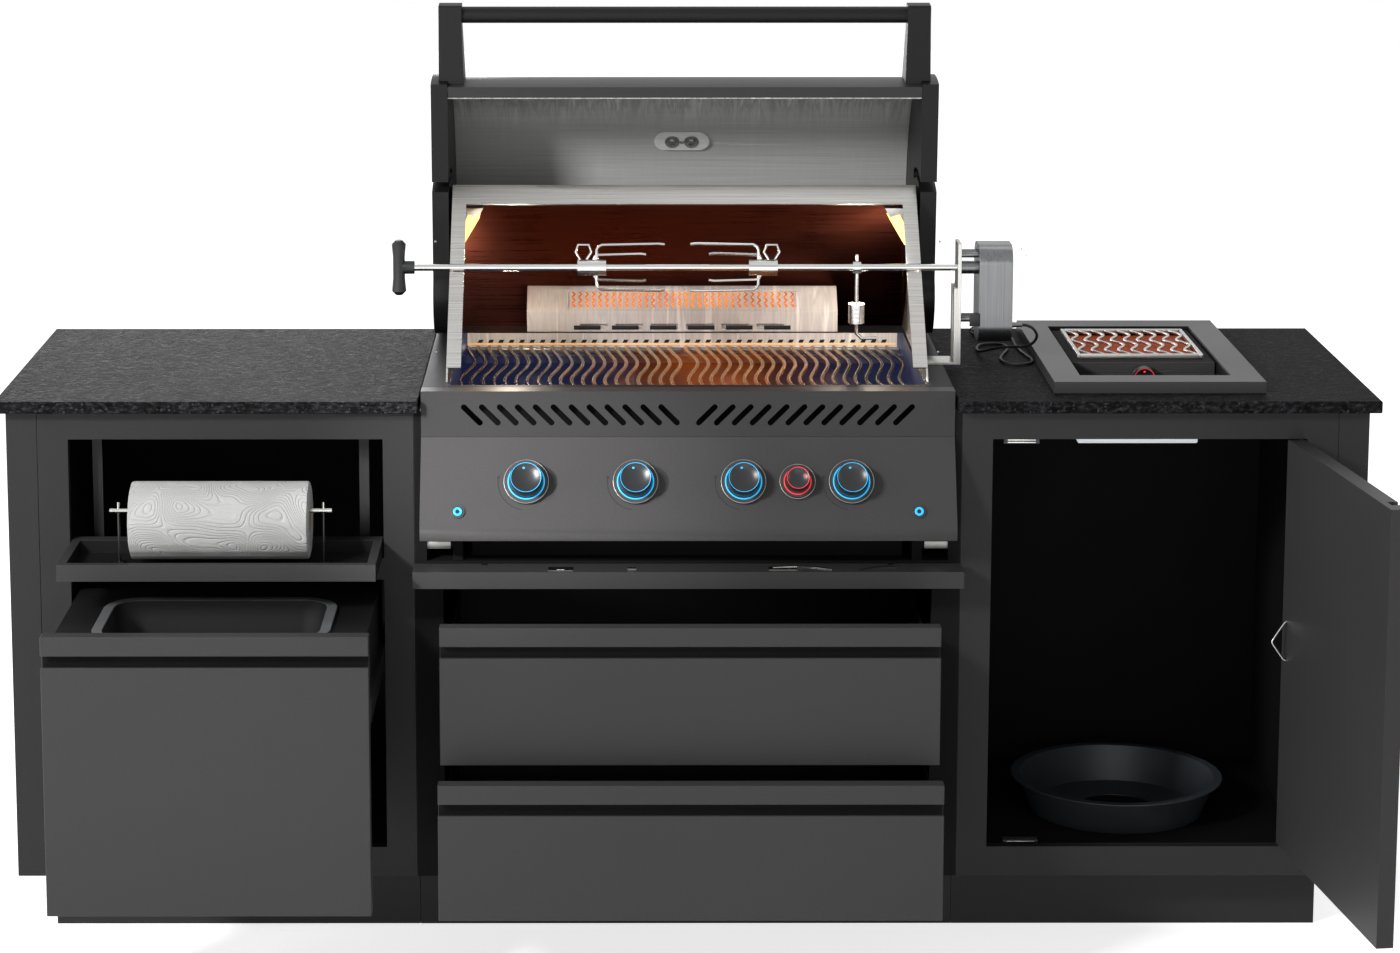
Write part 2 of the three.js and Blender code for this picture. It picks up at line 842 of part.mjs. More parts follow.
function centreDrawer(drawer, name) {
  const group = slidGroup(drawer.travel);
  put(name + '_front', drawerFront(0, drawerFrontHalf, drawer.low, drawer.high), finishes.steel, group);
  const from = front.thickness + SEAT_GAP;
  const low = drawer.low + drawerBox.floorRise;
  let solid = openBox(
    drawerBoxHalf, 0, from, from + drawerBox.length, low, low + drawer.boxHeight, drawerBox.sheet, low,
  );
  for (const side of [-1, 1]) {
    const z = drawer.low + runner.height;
    solid = solid.add(runnerMember(side * (drawerBoxHalf - OVERRUN), z, side, from, from + drawerBox.length));
  }
  put(name + '_box', solid, finishes.darkSteel, group);
}

// Fold-down door with the paper towel holder on its inner face
function towelDoor() {
  const group = turnedGroup(towelPin.depth, towelPin.height, 90);
  const x0 = -sideMiddle - frontHalf;
  const x1 = -sideMiddle + frontHalf;
  const place = [towelPin.depth, towelPin.height];
  const panel = joined([
    box(x0, x1, 0, front.thickness, towelDoorLow, towelDoorHigh),
    bar('x', front.pinRadius, x0 - FRONT_GAP - front.pinReach, x0 + OVERRUN, place, 12),
    bar('x', front.pinRadius, x1 - OVERRUN, x1 + FRONT_GAP + front.pinReach, place, 12),
  ]);
  const half = front.thickness / 2;
  const quarter = [
    [0, towelDoorLow], [half, towelDoorLow], [0, towelDoorLow + half],
  ];
  // The inner face is a shallow pan between folded edges
  const pan = box(
    x0 + towelPan.rim, x1 - towelPan.rim, front.thickness - towelPan.depth, front.thickness + OVERRUN,
    towelDoorLow + front.thickness, towelDoorHigh - towelPan.rim,
  );
  put('towel_door', cut(panel, [prism('x', quarter, x0 - OVERRUN, x1 + OVERRUN), pan]), finishes.steel, group);

  const inside = front.thickness - towelPan.depth + SEAT_GAP;
  const z = towelPin.height + towelDoorOffset;
  const y = inside + towelHolder.rodHeight;
  const spread = towelHolder.spread / 2;
  const reach = spread + towelHolder.rodOverhang;
  const wires = [-1, 1].map((side) => {
    const foot = -sideMiddle + side * spread;
    return joined([
      box(foot - towelHolder.knob, foot + towelHolder.knob, inside, inside + towelHolder.wireRadius * 2,
        z - towelHolder.knob * 2, z + towelHolder.knob * 2),
      bar('y', towelHolder.wireRadius, inside + towelHolder.wireRadius, y + towelHolder.knob * 2, [foot, z], 8),
    ]);
  });
  const rod = bar('x', towelHolder.rodRadius, -sideMiddle - reach, -sideMiddle + reach, [y, z], 12);
  put('towel_holder', joined(wires.concat(rod)), finishes.stainless, group);
  const halfRoll = towelRoll.length / 2;
  // The roll hangs with the top of its bore on the rod
  const hung = y - (towelRoll.bore - towelHolder.rodRadius - SEAT_GAP);
  const roll = ringAlong(
    'x', towelRoll.bore, towelRoll.radius, -sideMiddle - halfRoll, -sideMiddle + halfRoll, [hung, z], 40,
  );
  put('towel_roll', roll, finishes.paper, group);
}

function roundedRing(width, depth, corner, cx, cy, z, perCorner = 4) {
  const points = [];
  for (let quarter = 0; quarter < 4; quarter += 1) {
    const angle = (quarter * Math.PI) / 2;
    const sx = [1, -1, -1, 1][quarter];
    const sy = [1, 1, -1, -1][quarter];
    for (let i = 0; i <= perCorner; i += 1) {
      const a = angle + (i / perCorner) * (Math.PI / 2);
      points.push([
        cx + sx * (width / 2 - corner) + corner * Math.cos(a),
        cy + sy * (depth / 2 - corner) + corner * Math.sin(a),
        z,
      ]);
    }
  }
  return points;
}

// Pull-out waste bin: the front, a carrying frame and a tapered tub that lifts out
function binUnit() {
  const group = slidGroup(binDrawer.travel);
  put('bin_drawer_front', drawerFront(-sideMiddle, frontHalf, binFront.low, binFront.high), finishes.steel, group);
  const from = front.thickness + SEAT_GAP;
  const to = from + binDrawer.depth;
  const top = binFront.high - bin.rimDrop - bin.rimThickness - SEAT_GAP;
  const { frameSheet, binSetback } = binDrawer;
  const frameHeight = top - binRunnerHeight + runner.height / 2;
  const middleY = from + binSetback + bin.depth / 2;
  const deckZ = top - frameSheet;
  const holeWidth = bin.width - bin.rimWidth * 2 + SEAT_GAP * 4;
  const holeDepth = bin.depth - bin.rimWidth * 2 + SEAT_GAP * 4;
  let frame = box(-sideMiddle - binFrameHalf, -sideMiddle + binFrameHalf, from, to, top - frameHeight, top);
  frame = frame.subtract(box(
    -sideMiddle - binFrameHalf + frameSheet, -sideMiddle + binFrameHalf - frameSheet,
    from + frameSheet, to - frameSheet, top - frameHeight - OVERRUN, deckZ,
  ));
  frame = frame.subtract(lofted([
    roundedRing(holeWidth, holeDepth, bin.corner, -sideMiddle, middleY, deckZ - OVERRUN),
    roundedRing(holeWidth, holeDepth, bin.corner, -sideMiddle, middleY, top + OVERRUN),
  ]));
  for (const side of [-1, 1]) {
    frame = frame.add(runnerMember(-sideMiddle + side * (binFrameHalf - OVERRUN), binRunnerHeight, side, from, to));
  }
  put('bin_drawer_frame', frame, finishes.darkSteel, group);

  const rimLow = top + SEAT_GAP;
  const rimTop = rimLow + bin.rimThickness;
  const bodyWidth = bin.width - bin.rimWidth * 2;
  const bodyDepth = bin.depth - bin.rimWidth * 2;
  const low = rimTop - bin.height;
  const shell = (inset, z0, z1) => {
    const drop = (z0 - low) / bin.height;
    const narrow = bin.taper * (1 - drop);
    return lofted([
      roundedRing(bodyWidth - 2 * (inset + narrow), bodyDepth - 2 * (inset + narrow), bin.corner - inset,
        -sideMiddle, middleY, z0),
      roundedRing(bodyWidth - 2 * inset, bodyDepth - 2 * inset, bin.corner - inset, -sideMiddle, middleY, z1),
    ]);
  };
  const rim = lofted([
    roundedRing(bin.width, bin.depth, bin.corner + bin.rimWidth, -sideMiddle, middleY, rimLow),
    roundedRing(bin.width, bin.depth, bin.corner + bin.rimWidth, -sideMiddle, middleY, rimTop),
  ]);
  const tub = shell(0, low, rimTop).add(rim).subtract(shell(bin.wall, low + bin.wall, rimTop + OVERRUN));
  put('waste_bin', tub, finishes.blackPlastic, group);
}

// Fold-down flap under the control panel, with notches round its hinge ears
function accessFlap() {
  const group = turnedGroup(flapPin.depth, flapPin.height, 90);
  const back = -SEAT_GAP;
  const outline = [
    [back, flapLow + flap.thickness / 2], [back, flapLow + flap.reach],
    [-flap.thickness, flapLow + flap.reach], [-flap.thickness, flapLow + SEAT_GAP],
    [-flap.thickness / 2, flapLow + SEAT_GAP],
  ];
  const place = [flapPin.depth, flapPin.height];
  let panel = prism('x', outline, centreFrom, centreTo);
  for (const side of [-1, 1]) {
    const x = side * flap.earSpread;
    const half = flap.earWidth / 2 + SEAT_GAP;
    const room = flap.earRadius + SEAT_GAP * 2;
    const notch = bar('x', room, x - half, x + half, place, 16)
      .add(box(x - half, x + half, flapPin.depth - room, 0, flapLow - OVERRUN, flapPin.height + room));
    panel = panel.subtract(notch).add(bar('x', flap.pin, x - half - OVERRUN, x + half + OVERRUN, place, 12));
  }
  put('access_flap', panel, finishes.steel, group);
}

// Gas cupboard door, hung on two stub pins, and the ring that holds the gas cylinder
const gasAxis = [sideMiddle + frontHalf - gasDoor.axisInset, gasDoor.axisInset];

function gasCupboard() {
  const outer = new THREE.Group();
  outer.position.set(gasAxis[0], gasAxis[1], 0);
  outer.rotation.z = THREE.MathUtils.degToRad(gasDoor.openAngle);
  const inner = new THREE.Group();
  inner.position.set(-gasAxis[0], -gasAxis[1], 0);
  outer.add(inner);
  island.add(outer);
  const low = lowerRailTop + FRONT_GAP;
  const high = openingTop - FRONT_GAP;
  const x0 = sideMiddle - frontHalf;
  const x1 = sideMiddle + frontHalf;
  const { lip, pullGap, pullDepth, skin, thickness } = front;
  const shape = new THREE.Shape();
  shape.moveTo(x0, 0);
  shape.lineTo(gasAxis[0], 0);
  shape.absarc(gasAxis[0], gasAxis[1], gasDoor.axisInset, -Math.PI / 2, 0);
  shape.lineTo(x1, thickness);
  shape.lineTo(x0, thickness);
  shape.lineTo(x0, 0);
  const pull = [
    [x0 + lip, -OVERRUN], [x0 + lip, pullDepth], [x0 + lip + pullGap + skin, pullDepth],
    [x0 + lip + pullGap + skin, skin * 2], [x0 + lip + pullGap, skin * 2], [x0 + lip + pullGap, -OVERRUN],
  ];
  const door = joined([
    prism('z', shape, low, high).subtract(prism('z', pull, low - OVERRUN, high + OVERRUN)),
    bar('z', front.pinRadius, low - FRONT_GAP - front.pinReach, low + OVERRUN, gasAxis, 12),
    bar('z', front.pinRadius, high - OVERRUN, high + FRONT_GAP + front.pinReach, gasAxis, 12),
  ]);
  put('gas_door', door, finishes.steel, inner);

  const base = cabinet.plinthHeight + cabinet.sheet + SEAT_GAP;
  const { radius, height, rim, hole, sheet, taper } = tankRing;
  const floorRadius = radius - taper;
  const profile = [
    [hole, 0], [floorRadius, 0], [radius - rim, height - sheet], [radius, height - sheet], [radius, height],
    [radius - rim - sheet, height], [floorRadius - sheet, sheet], [hole, sheet], [hole, 0],
  ];
  put('tank_ring', revolved('z', profile, 32, tankRing.x, tankRing.depth, base), finishes.greyPlastic);
}

// Grill head

// The front skins hang just ahead of the cabinet's front edges
const ventFront = -SEAT_GAP - head.sheet;
const panelTop = [-head.panelBack, head.ventLow - SEAT_GAP];
const panelFoot = [-head.panelReach, head.panelLow];
const panelSlope = Math.atan2(panelTop[0] - panelFoot[0], panelTop[1] - panelFoot[1]);

function ventPanel() {
  const { sheet, ventLow, deckTop, ledge, width } = head;
  const outline = [
    [ventFront, ventLow], [ventFront + sheet, ventLow], [ventFront + sheet, deckTop - sheet],
    [ledge, deckTop - sheet], [ledge, deckTop], [ventFront, deckTop],
  ];
  const panel = prism('x', outline, -width / 2, width / 2);
  const middle = ventLow + (deckTop - ventLow) * vent.heightShare;
  const slots = [];
  for (const side of [-1, 1]) {
    for (let i = 0; i < vent.slots; i += 1) {
      const shape = roundedRectangle(vent.length, vent.width, vent.width / 2);
      const geometry = new THREE.ExtrudeGeometry(shape, {
        depth: sheet + 2 * OVERRUN, bevelEnabled: false, curveSegments: 2,
      });
      geometry.rotateZ((side * Math.PI) / 4);
      geometry.rotateX(Math.PI / 2);
      geometry.translate(side * (vent.first + i * vent.pitch), ventFront + sheet + OVERRUN, middle);
      slots.push(toSolid(geometry));
    }
  }
  return cut(panel, slots);
}

// A point on the control panel's outer face, at a share of the way down it
function panelPoint(share) {
  return panelTop.map((value, i) => value + (panelFoot[i] - value) * share);
}

// A geometry drawn standing on the panel's face (+Z out of it), carried to its place there
function onPanel(geometry, x, share) {
  const [y, z] = panelPoint(share);
  geometry.rotateX(Math.PI / 2 - panelSlope);
  geometry.translate(x, y, z);
  return toSolid(geometry);
}

function panelGroup(x, share) {
  const [y, z] = panelPoint(share);
  const group = new THREE.Group();
  group.position.set(x, y, z);
  group.rotation.x = Math.PI / 2 - panelSlope;
  island.add(group);
  return group;
}

function stemAndBezel(size, x) {
  const { bezel, bezelHeight, radius, height, crown, stem, rim } = size;
  const inner = radius + rim;
  const ring = [[inner, -OVERRUN], [bezel, -OVERRUN], [bezel - rim, bezelHeight], [inner, bezelHeight], [inner, -OVERRUN]];
  const shaft = [[0, -OVERRUN], [stem, -OVERRUN], [stem, height - crown - SEAT_GAP], [0, height - crown - SEAT_GAP]];
  return onPanel(turned('z', ring, 24), x, knobShare).add(onPanel(turned('z', shaft, 8), x, knobShare));
}

function controlPanel() {
  const { sheet, panelReach, panelLow, skirt, skirtReturn, width } = head;
  const low = panelLow - skirt;
  const lean = sheet / Math.cos(panelSlope);
  const outline = [
    panelTop, panelFoot, [-panelReach, low], [-panelReach + skirtReturn, low],
    [-panelReach + skirtReturn, low + sheet], [-panelReach + sheet, low + sheet],
    [-panelReach + sheet, panelLow], [panelTop[0] + lean, panelTop[1]],
  ];
  const cheek = [panelTop, panelFoot, [-panelReach, low], [-SEAT_GAP, low], [-SEAT_GAP, panelTop[1]]];
  let panel = joined([
    prism('x', outline, -width / 2, width / 2),
    prism('x', cheek, -width / 2, -width / 2 + sheet),
    prism('x', cheek, width / 2 - sheet, width / 2),
  ]);
  for (const x of knobPlaces) panel = panel.add(stemAndBezel(knob, x));
  panel = panel.add(stemAndBezel(rearKnob, rearKnob.x));
  for (const side of [-1, 1]) {
    const { radius, collar, collarHeight, share } = panelButton;
    const inner = radius + SEAT_GAP;
    const ring = [[inner, -OVERRUN], [collar, -OVERRUN], [collar, collarHeight], [inner, collarHeight], [inner, -OVERRUN]];
    const bore = [[0, -sheet - OVERRUN], [inner, -sheet - OVERRUN], [inner, collarHeight], [0, collarHeight]];
    panel = panel.add(onPanel(turned('z', ring, 16), side * panelButton.x, share));
    panel = panel.subtract(onPanel(turned('z', bore, 16), side * panelButton.x, share));
  }
  return panel;
}

function knobSolid(size) {
  const { radius, height, crown, stem, seat } = size;
  const bore = stem + PIN_CLEARANCE;
  const profile = [
    [bore, seat], [radius, seat], [radius, height * 0.5], [radius * 0.94, height * 0.86], [radius * 0.8, height],
    [0, height], [0, height - crown], [bore, height - crown], [bore, seat],
  ];
  return toSolid(turned('z', profile, 20));
}

function buttonSolid() {
  const { radius, height, tail, flange } = panelButton;
  const flangeTop = -head.sheet - SEAT_GAP * 2;
  const profile = [[0, -tail], [flange, -tail], [flange, flangeTop], [radius, flangeTop], [radius, height], [0, height]];
  return toSolid(turned('z', profile, 16));
}

// Firebox: a tub hung from a deck, with rails for the burners, the sear plates and the grids
const tubInner = { front: head.tubFront + head.tubSheet, back: head.tubBack - head.tubSheet };
const gridBarLow = grid.top - grid.rod - grid.barRadius * 1.6;

function firebox() {
  const { deckTop, deckSheet, ledge, back, width, tubHalfWidth, tubFront, tubBack, tubFloor, tubSheet, drain, rail } = head;
  const deckFront = ledge + SEAT_GAP;
  const innerHalf = tubHalfWidth - tubSheet;
  let solid = box(-width / 2, width / 2, deckFront, back, deckTop - deckSheet, deckTop);
  for (const side of [-1, 1]) {
    const skirt = [side * (width / 2), side * (centreHalf - cabinet.sheet + SEAT_GAP)];
    solid = solid.add(box(Math.min(...skirt), Math.max(...skirt), deckFront, back, cabinet.top + SEAT_GAP, deckTop));
  }
  solid = solid.add(box(-tubHalfWidth, tubHalfWidth, tubFront, tubBack, tubFloor, deckTop - deckSheet / 2));
  solid = solid.subtract(box(-innerHalf, innerHalf, tubInner.front, tubInner.back, tubFloor + tubSheet, deckTop + OVERRUN));
  const middle = (tubFront + tubBack) / 2;
  solid = solid.subtract(box(
    -innerHalf + drain, innerHalf - drain, middle - drain / 2, middle + drain / 2, tubFloor - OVERRUN, tubFloor + tubSheet * 2,
  ));
  const plateRail = [searPlate.low - rail - SEAT_GAP, searPlate.low - SEAT_GAP];
  const gridRail = [gridBarLow - rail - SEAT_GAP, gridBarLow - SEAT_GAP];
  const burnerTop = burner.height - burner.radius - SEAT_GAP;
  const reach = grid.front + rail - tubInner.front;
  const grow = tubSheet / 2;
  const rails = [
    [tubFront + grow, tubInner.front + reach, ...gridRail],
    [tubInner.back - reach, tubBack - grow, ...gridRail],
    [tubFront + grow, tubInner.front + reach, ...plateRail],
    [tubInner.back - reach, tubBack - grow, ...plateRail],
    [tubInner.front + burner.inset, tubInner.front + burner.inset + rail, burnerTop - rail, burnerTop],
    [tubInner.back - burner.inset - rail, tubInner.back - burner.inset, burnerTop - rail, burnerTop],
  ];
  for (const [from, to, low, high] of rails) {
    solid = solid.add(box(-innerHalf - grow, innerHalf + grow, from, to, low, high));
  }
  return solid;
}

// One cooking grid: wavy rods side by side on two flat bars
function cookingGrid(middle) {
  const { width, depth, front: from, top, rod, rods, wave, halfWaves, stepsPerHalfWave, barRadius } = grid;
  const pitch = (width - rod - 2 * wave) / (rods - 1);
  const steps = halfWaves * stepsPerHalfWave;
  const z = top - rod / 2;
  const pieces = [];
  for (const y of [from + barRadius, from + depth - barRadius]) {
    pieces.push(box(middle - width / 2, middle + width / 2, y - barRadius, y + barRadius, gridBarLow, z - rod / 4));
  }
  for (let i = 0; i < rods; i += 1) {
    const x = middle - (pitch * (rods - 1)) / 2 + i * pitch;
    const points = Array.from({ length: steps + 1 }, (_, k) => [
      x + wave * Math.cos((Math.PI * halfWaves * k) / steps),
      from + (depth * k) / steps,
      z,
    ]);
    pieces.push(bent(points, rod / 2, 4));
  }
  return joined(pieces);
}

function burnerSet() {
  const from = tubInner.front + searPlate.inset;
  const to = tubInner.back - searPlate.inset;
  const tubes = knobPlaces.map((x) => bar('y', burner.radius, from, to, [x, burner.height], 12));
  const half = burner.crossover / 2;
  const cross = box(
    knobPlaces[0], knobPlaces[knobPlaces.length - 1], to - burner.inset * 2, to - burner.inset * 2 + burner.crossover,
    burner.height - half, burner.height + half,
  );
  return joined(tubes.concat(cross));
}

function searPlateSolid(x) {
  const { half, rise, sheet, low, inset } = searPlate;
  const outline = [
    [x - half, low], [x, low + rise], [x + half, low], [x + half, low + sheet], [x, low + rise + sheet], [x - half, low + sheet],
  ];
  return prism('y', outline, tubInner.front + inset, tubInner.back - inset);
}

function rearBurnerSolid() {
  const { width, front: from, knee, top, slopeDepth, window, windowDepth, windowShare } = rearBurner;
  const low = head.deckTop + SEAT_GAP;
  const back = head.back - hood.sheet - SEAT_GAP;
  const crest = from + slopeDepth;
  const body = prism('x', [[from, low], [back, low], [back, top], [crest, top], [from, knee]], -width / 2, width / 2);
  const slope = (share, sink) => {
    const length = Math.hypot(slopeDepth, top - knee);
    return [
      from + slopeDepth * share + (sink * (top - knee)) / length,
      knee + (top - knee) * share - (sink * slopeDepth) / length,
    ];
  };
  const recess = prism('x', [
    slope(windowShare, -OVERRUN), slope(1 - windowShare, -OVERRUN),
    slope(1 - windowShare, windowDepth), slope(windowShare, windowDepth),
  ], -window / 2, window / 2);
  const slots = Array.from({ length: rearBurner.slots }, (_, i) => {
    const x = (i - (rearBurner.slots - 1) / 2) * rearBurner.slotPitch;
    const bottom = low + rearBurner.slotRise;
    return box(
      x - rearBurner.slotWidth / 2, x + rearBurner.slotWidth / 2,
      from - OVERRUN, from + rearBurner.slotDepth, bottom, bottom + rearBurner.slotHeight,
    );
  });
  return cut(body, slots.concat(recess));
}

function dripTraySolid() {
  const low = shelfTop + SEAT_GAP;
  return openBox(dripTray.halfWidth, 0, dripTray.front, dripTray.back, low, low + dripTray.height, dripTray.sheet, low);
}

// Fixed hood: walls, mitred front frame, roof, rear wall, lamps and the studs that the lid turns on
function hoodFrame() {
  const { width, sheet, flange, footFront, foot, brow, browHeight, beam, toe, wallTop } = hood;
  const half = width / 2;
  const base = head.deckTop + SEAT_GAP;
  const length = Math.hypot(brow - footFront, browHeight - foot);
  const along = [(brow - footFront) / length, (browHeight - foot) / length];
  const inward = [along[1], -along[0]];
  const at = (t, sink) => [footFront + along[0] * t + inward[0] * sink, foot + along[1] * t + inward[1] * sink];
  const middle = sheet / 2;
  // The walls end halfway into the skin that folds round them
  const wall = [
    [footFront - toe, base], at(middle, middle), at(length - middle, middle),
    [head.back - middle, wallTop - middle], [head.back - middle, base],
  ];
  const skin = [
    at(0, 0), at(length, 0), [head.back, wallTop], [head.back, wallTop - sheet], at(length - sheet, sheet), at(0, sheet),
  ];
  const mouth = [
    at(-OVERRUN, -OVERRUN), at(length - beam, -OVERRUN), at(length - beam, sheet + OVERRUN), at(-OVERRUN, sheet + OVERRUN),
  ];
  const pieces = [
    prism('x', skin, -half, half).subtract(prism('x', mouth, -half + flange, half - flange)),
    box(-half, half, head.back - sheet, head.back, base, wallTop - middle),
  ];
  for (const side of [-1, 1]) {
    const inner = side * (half - sheet);
    const lampX = side * (half - sheet / 2);
    const lamp = [
      [lampX, wallTop - sheet], [lampX - side * hood.lampWidth, wallTop - sheet],
      [lampX - side * hood.lampFoot, wallTop - hood.lampHeight], [lampX, wallTop - hood.lampHeight],
    ];
    pieces.push(
      prism('x', wall, Math.min(inner, side * half), Math.max(inner, side * half)),
      prism('y', side > 0 ? lamp : lamp.reverse(), hood.lampBack - hood.lampDepth, hood.lampBack),
      bar('x', lid.studRadius, Math.min(inner, side * (lid.capOuter - lid.studRadius)),
        Math.max(inner, side * (lid.capOuter - lid.studRadius)), [lid.pivotDepth, lid.pivotHeight], 20),
    );
  }
  // The notch that the spit lies in, deep enough to pass right through the flanges
  const saddles = [0, sheet * 1.5].map((sink) => bar(
    'x', spit.radius + spit.clearance, -half - OVERRUN, half + OVERRUN,
    [spit.depth + inward[0] * sink, spit.height + inward[1] * sink], 16,
  ));
  return cut(joined(pieces), saddles);
}

// Lid, drawn closed

const lidHalf = lid.capInner - SEAT_GAP;
const lidCurve = new THREE.SplineCurve(lid.outline.map(([degrees, radius]) => new THREE.Vector2(degrees, radius)));
const lidEdge = lidCurve.getPoints(lid.steps).map((p) => [THREE.MathUtils.degToRad(p.x), p.y]);

function lidPoint([angle, radius], grow = 0) {
  return [
    lid.pivotDepth - (radius + grow) * Math.cos(angle),
    lid.pivotHeight + (radius + grow) * Math.sin(angle),
  ];
}

// The lid's edge moved in or out, as a band between two such lines
function lidBand(outer, inner) {
  return lidEdge.map((p) => lidPoint(p, outer)).concat([...lidEdge].reverse().map((p) => lidPoint(p, inner)));
}

function lidShell() {
  const first = lidEdge[0];
  const last = lidEdge[lidEdge.length - 1];
  const lipDepth = -lid.linerGap + SEAT_GAP;
  const lip = ([angle, radius], side) => {
    const turn = (side * lid.skin) / radius;
    return prism('x', [
      lidPoint([angle, radius]), lidPoint([angle, radius], lipDepth),
      lidPoint([angle + turn, radius], lipDepth), lidPoint([angle + turn, radius]),
    ], -lidHalf, lidHalf);
  };
  const shell = prism('x', lidBand(0, -lid.skin), -lidHalf, lidHalf);
  return cut(joined([shell, lip(first, 1), lip(last, -1)]), [gaugeBore()]);
}

function lidLiner() {
  const band = prism('x', lidBand(-lid.linerGap, -lid.linerGap - lid.linerSkin), -lidHalf, lidHalf);
  return cut(band, [gaugeBore()]);
}

// A cap closes the lid at one side, carries it on a stud and has a slot that passes over the spit
function lidCap(side) {
  const { pivotDepth, pivotHeight, heelRadius, waistDepth, waistRise, capLip, capInner, capOuter, slotHalf } = lid;
  const heel = Array.from({ length: lid.heelSteps + 1 }, (_, i) => {
    const angle = lid.heelTurn * (1 - i / lid.heelSteps);
    return [pivotDepth + heelRadius * Math.cos(angle), pivotHeight - heelRadius * Math.sin(angle)];
  });
  const outline = lidEdge.map((p) => lidPoint(p, capLip))
    .concat([[pivotDepth + waistDepth, pivotHeight + waistRise]], [...heel].reverse());
  const from = Math.min(side * capInner, side * capOuter);
  const to = Math.max(side * capInner, side * capOuter);
  const spitRadius = Math.hypot(pivotDepth - spit.depth, spit.height - pivotHeight);
  const spitAngle = Math.atan2(spit.height - pivotHeight, pivotDepth - spit.depth);
  const slotTurn = spitAngle - lidEdge[0][0] + THREE.MathUtils.degToRad(lid.slotOverrun);
  const slot = [];
  for (const grow of [slotHalf, -slotHalf]) {
    for (let i = 0; i <= lid.slotSteps; i += 1) {
      const t = grow > 0 ? i : lid.slotSteps - i;
      slot.push(lidPoint([spitAngle - (slotTurn * t) / lid.slotSteps, spitRadius + grow]));
    }
  }
  const solid = prism('x', outline, from, to);
  return cut(solid, [
    prism('x', slot, from - OVERRUN, to + OVERRUN),
    bar('x', slotHalf, from - OVERRUN, to + OVERRUN, [spit.depth, spit.height], 20),
    bar('x', lid.studRadius + PIN_CLEARANCE, from - OVERRUN, to + OVERRUN, [pivotDepth, pivotHeight], 24),
  ]);
}

// Everything that the lid's outline fills, a little larger, for the pieces that sit on it
function lidMass(grow) {
  return prism('x', lidEdge.map((p) => lidPoint(p, grow)).concat([[lid.pivotDepth, lid.pivotHeight]]), -lidHalf, lidHalf);
}

function lidHandleSolid() {
  const { radius, reach, rise, footInner, headInner, headOuter, foot, head: headHeight, crown } = lidHandle;
  const front = lidPoint([0, lid.outline[1][1]])[0];
  const place = [front - reach, lid.pivotHeight + rise];
  let solid = bar('x', radius, -headInner - OVERRUN, headInner + OVERRUN, place, 24);
  const capEdge = prism(
    'x', lidEdge.map((p) => lidPoint(p, lid.capLip + SEAT_GAP)).concat([[lid.pivotDepth, lid.pivotHeight]]),
    -lid.capOuter - OVERRUN, lid.capOuter + OVERRUN,
  ).subtract(box(-lidHalf, lidHalf, front - reach, lid.pivotDepth, head.deckTop, lid.pivotHeight + lid.pivotDepth));
  for (const side of [-1, 1]) {
    const section = (inner, y, height) => {
      const x = [side * inner, side * headOuter];
      const z = [place[1] - height / 2, place[1] + height / 2];
      return [[x[0], y, z[0]], [x[1], y, z[0]], [x[1], y, z[1]], [x[0], y, z[1]]];
    };
    const foremost = place[0] - radius - crown;
    solid = solid.add(lofted([
      section(headInner, foremost, headHeight - crown * 2),
      section(headInner, foremost + crown, headHeight),
      section(headInner, place[0] + radius, headHeight),
      section(footInner, front + reach / 4, foot),
    ]));
  }
  return cut(solid, [lidMass(SEAT_GAP), capEdge]);
}

// The thermometer stands through both skins: a round case outside and a flat boss inside
const gaugeAngle = THREE.MathUtils.degToRad(gauge.direction);
const gaugeNext = lidEdge.findIndex((p) => p[0] > gaugeAngle);
const gaugeSpan = [lidPoint(lidEdge[gaugeNext - 1]), lidPoint(lidEdge[gaugeNext])];
const gaugeTilt = Math.atan2(gaugeSpan[1][1] - gaugeSpan[0][1], gaugeSpan[1][0] - gaugeSpan[0][0]);

// A geometry drawn on +Z, carried to the gauge's axis with zero at the lid's outer skin
function onGauge(geometry) {
  geometry.rotateX(gaugeTilt);
  geometry.translate(0, (gaugeSpan[0][0] + gaugeSpan[1][0]) / 2, (gaugeSpan[0][1] + gaugeSpan[1][1]) / 2);
  return toSolid(geometry);
}

function gaugeBore() {
  const { stem } = gauge;
  const deep = -lid.linerGap - lid.linerSkin - OVERRUN * 2;
  const radius = stem + PIN_CLEARANCE;
  return onGauge(turned('z', [[0, deep], [radius, deep], [radius, OVERRUN * 2], [0, OVERRUN * 2]], 16));
}

function lidGauge() {
  const { radius, length, height, depth, boss, stem, seat, bossSeat, bezel } = gauge;
  const inside = -lid.linerGap - lid.linerSkin - bossSeat;
  const dial = turned('z', [
    [0, seat], [radius, seat], [radius, depth], [radius - bezel, depth], [radius - bezel, depth - bezel], [0, depth - bezel],
  ], 24);
  const shaft = turned('z', [[0, inside - OVERRUN], [stem, inside - OVERRUN], [stem, seat + OVERRUN], [0, seat + OVERRUN]], 16);
  const plate = new THREE.ExtrudeGeometry(roundedRectangle(length, height, height / 2), {
    depth: boss, bevelEnabled: false, curveSegments: 4,
  });
  plate.translate(0, 0, inside - boss);
  return joined([onGauge(dial), onGauge(shaft), onGauge(plate)]);
}

// Rotisserie

const spitPlace = [spit.depth, spit.height];

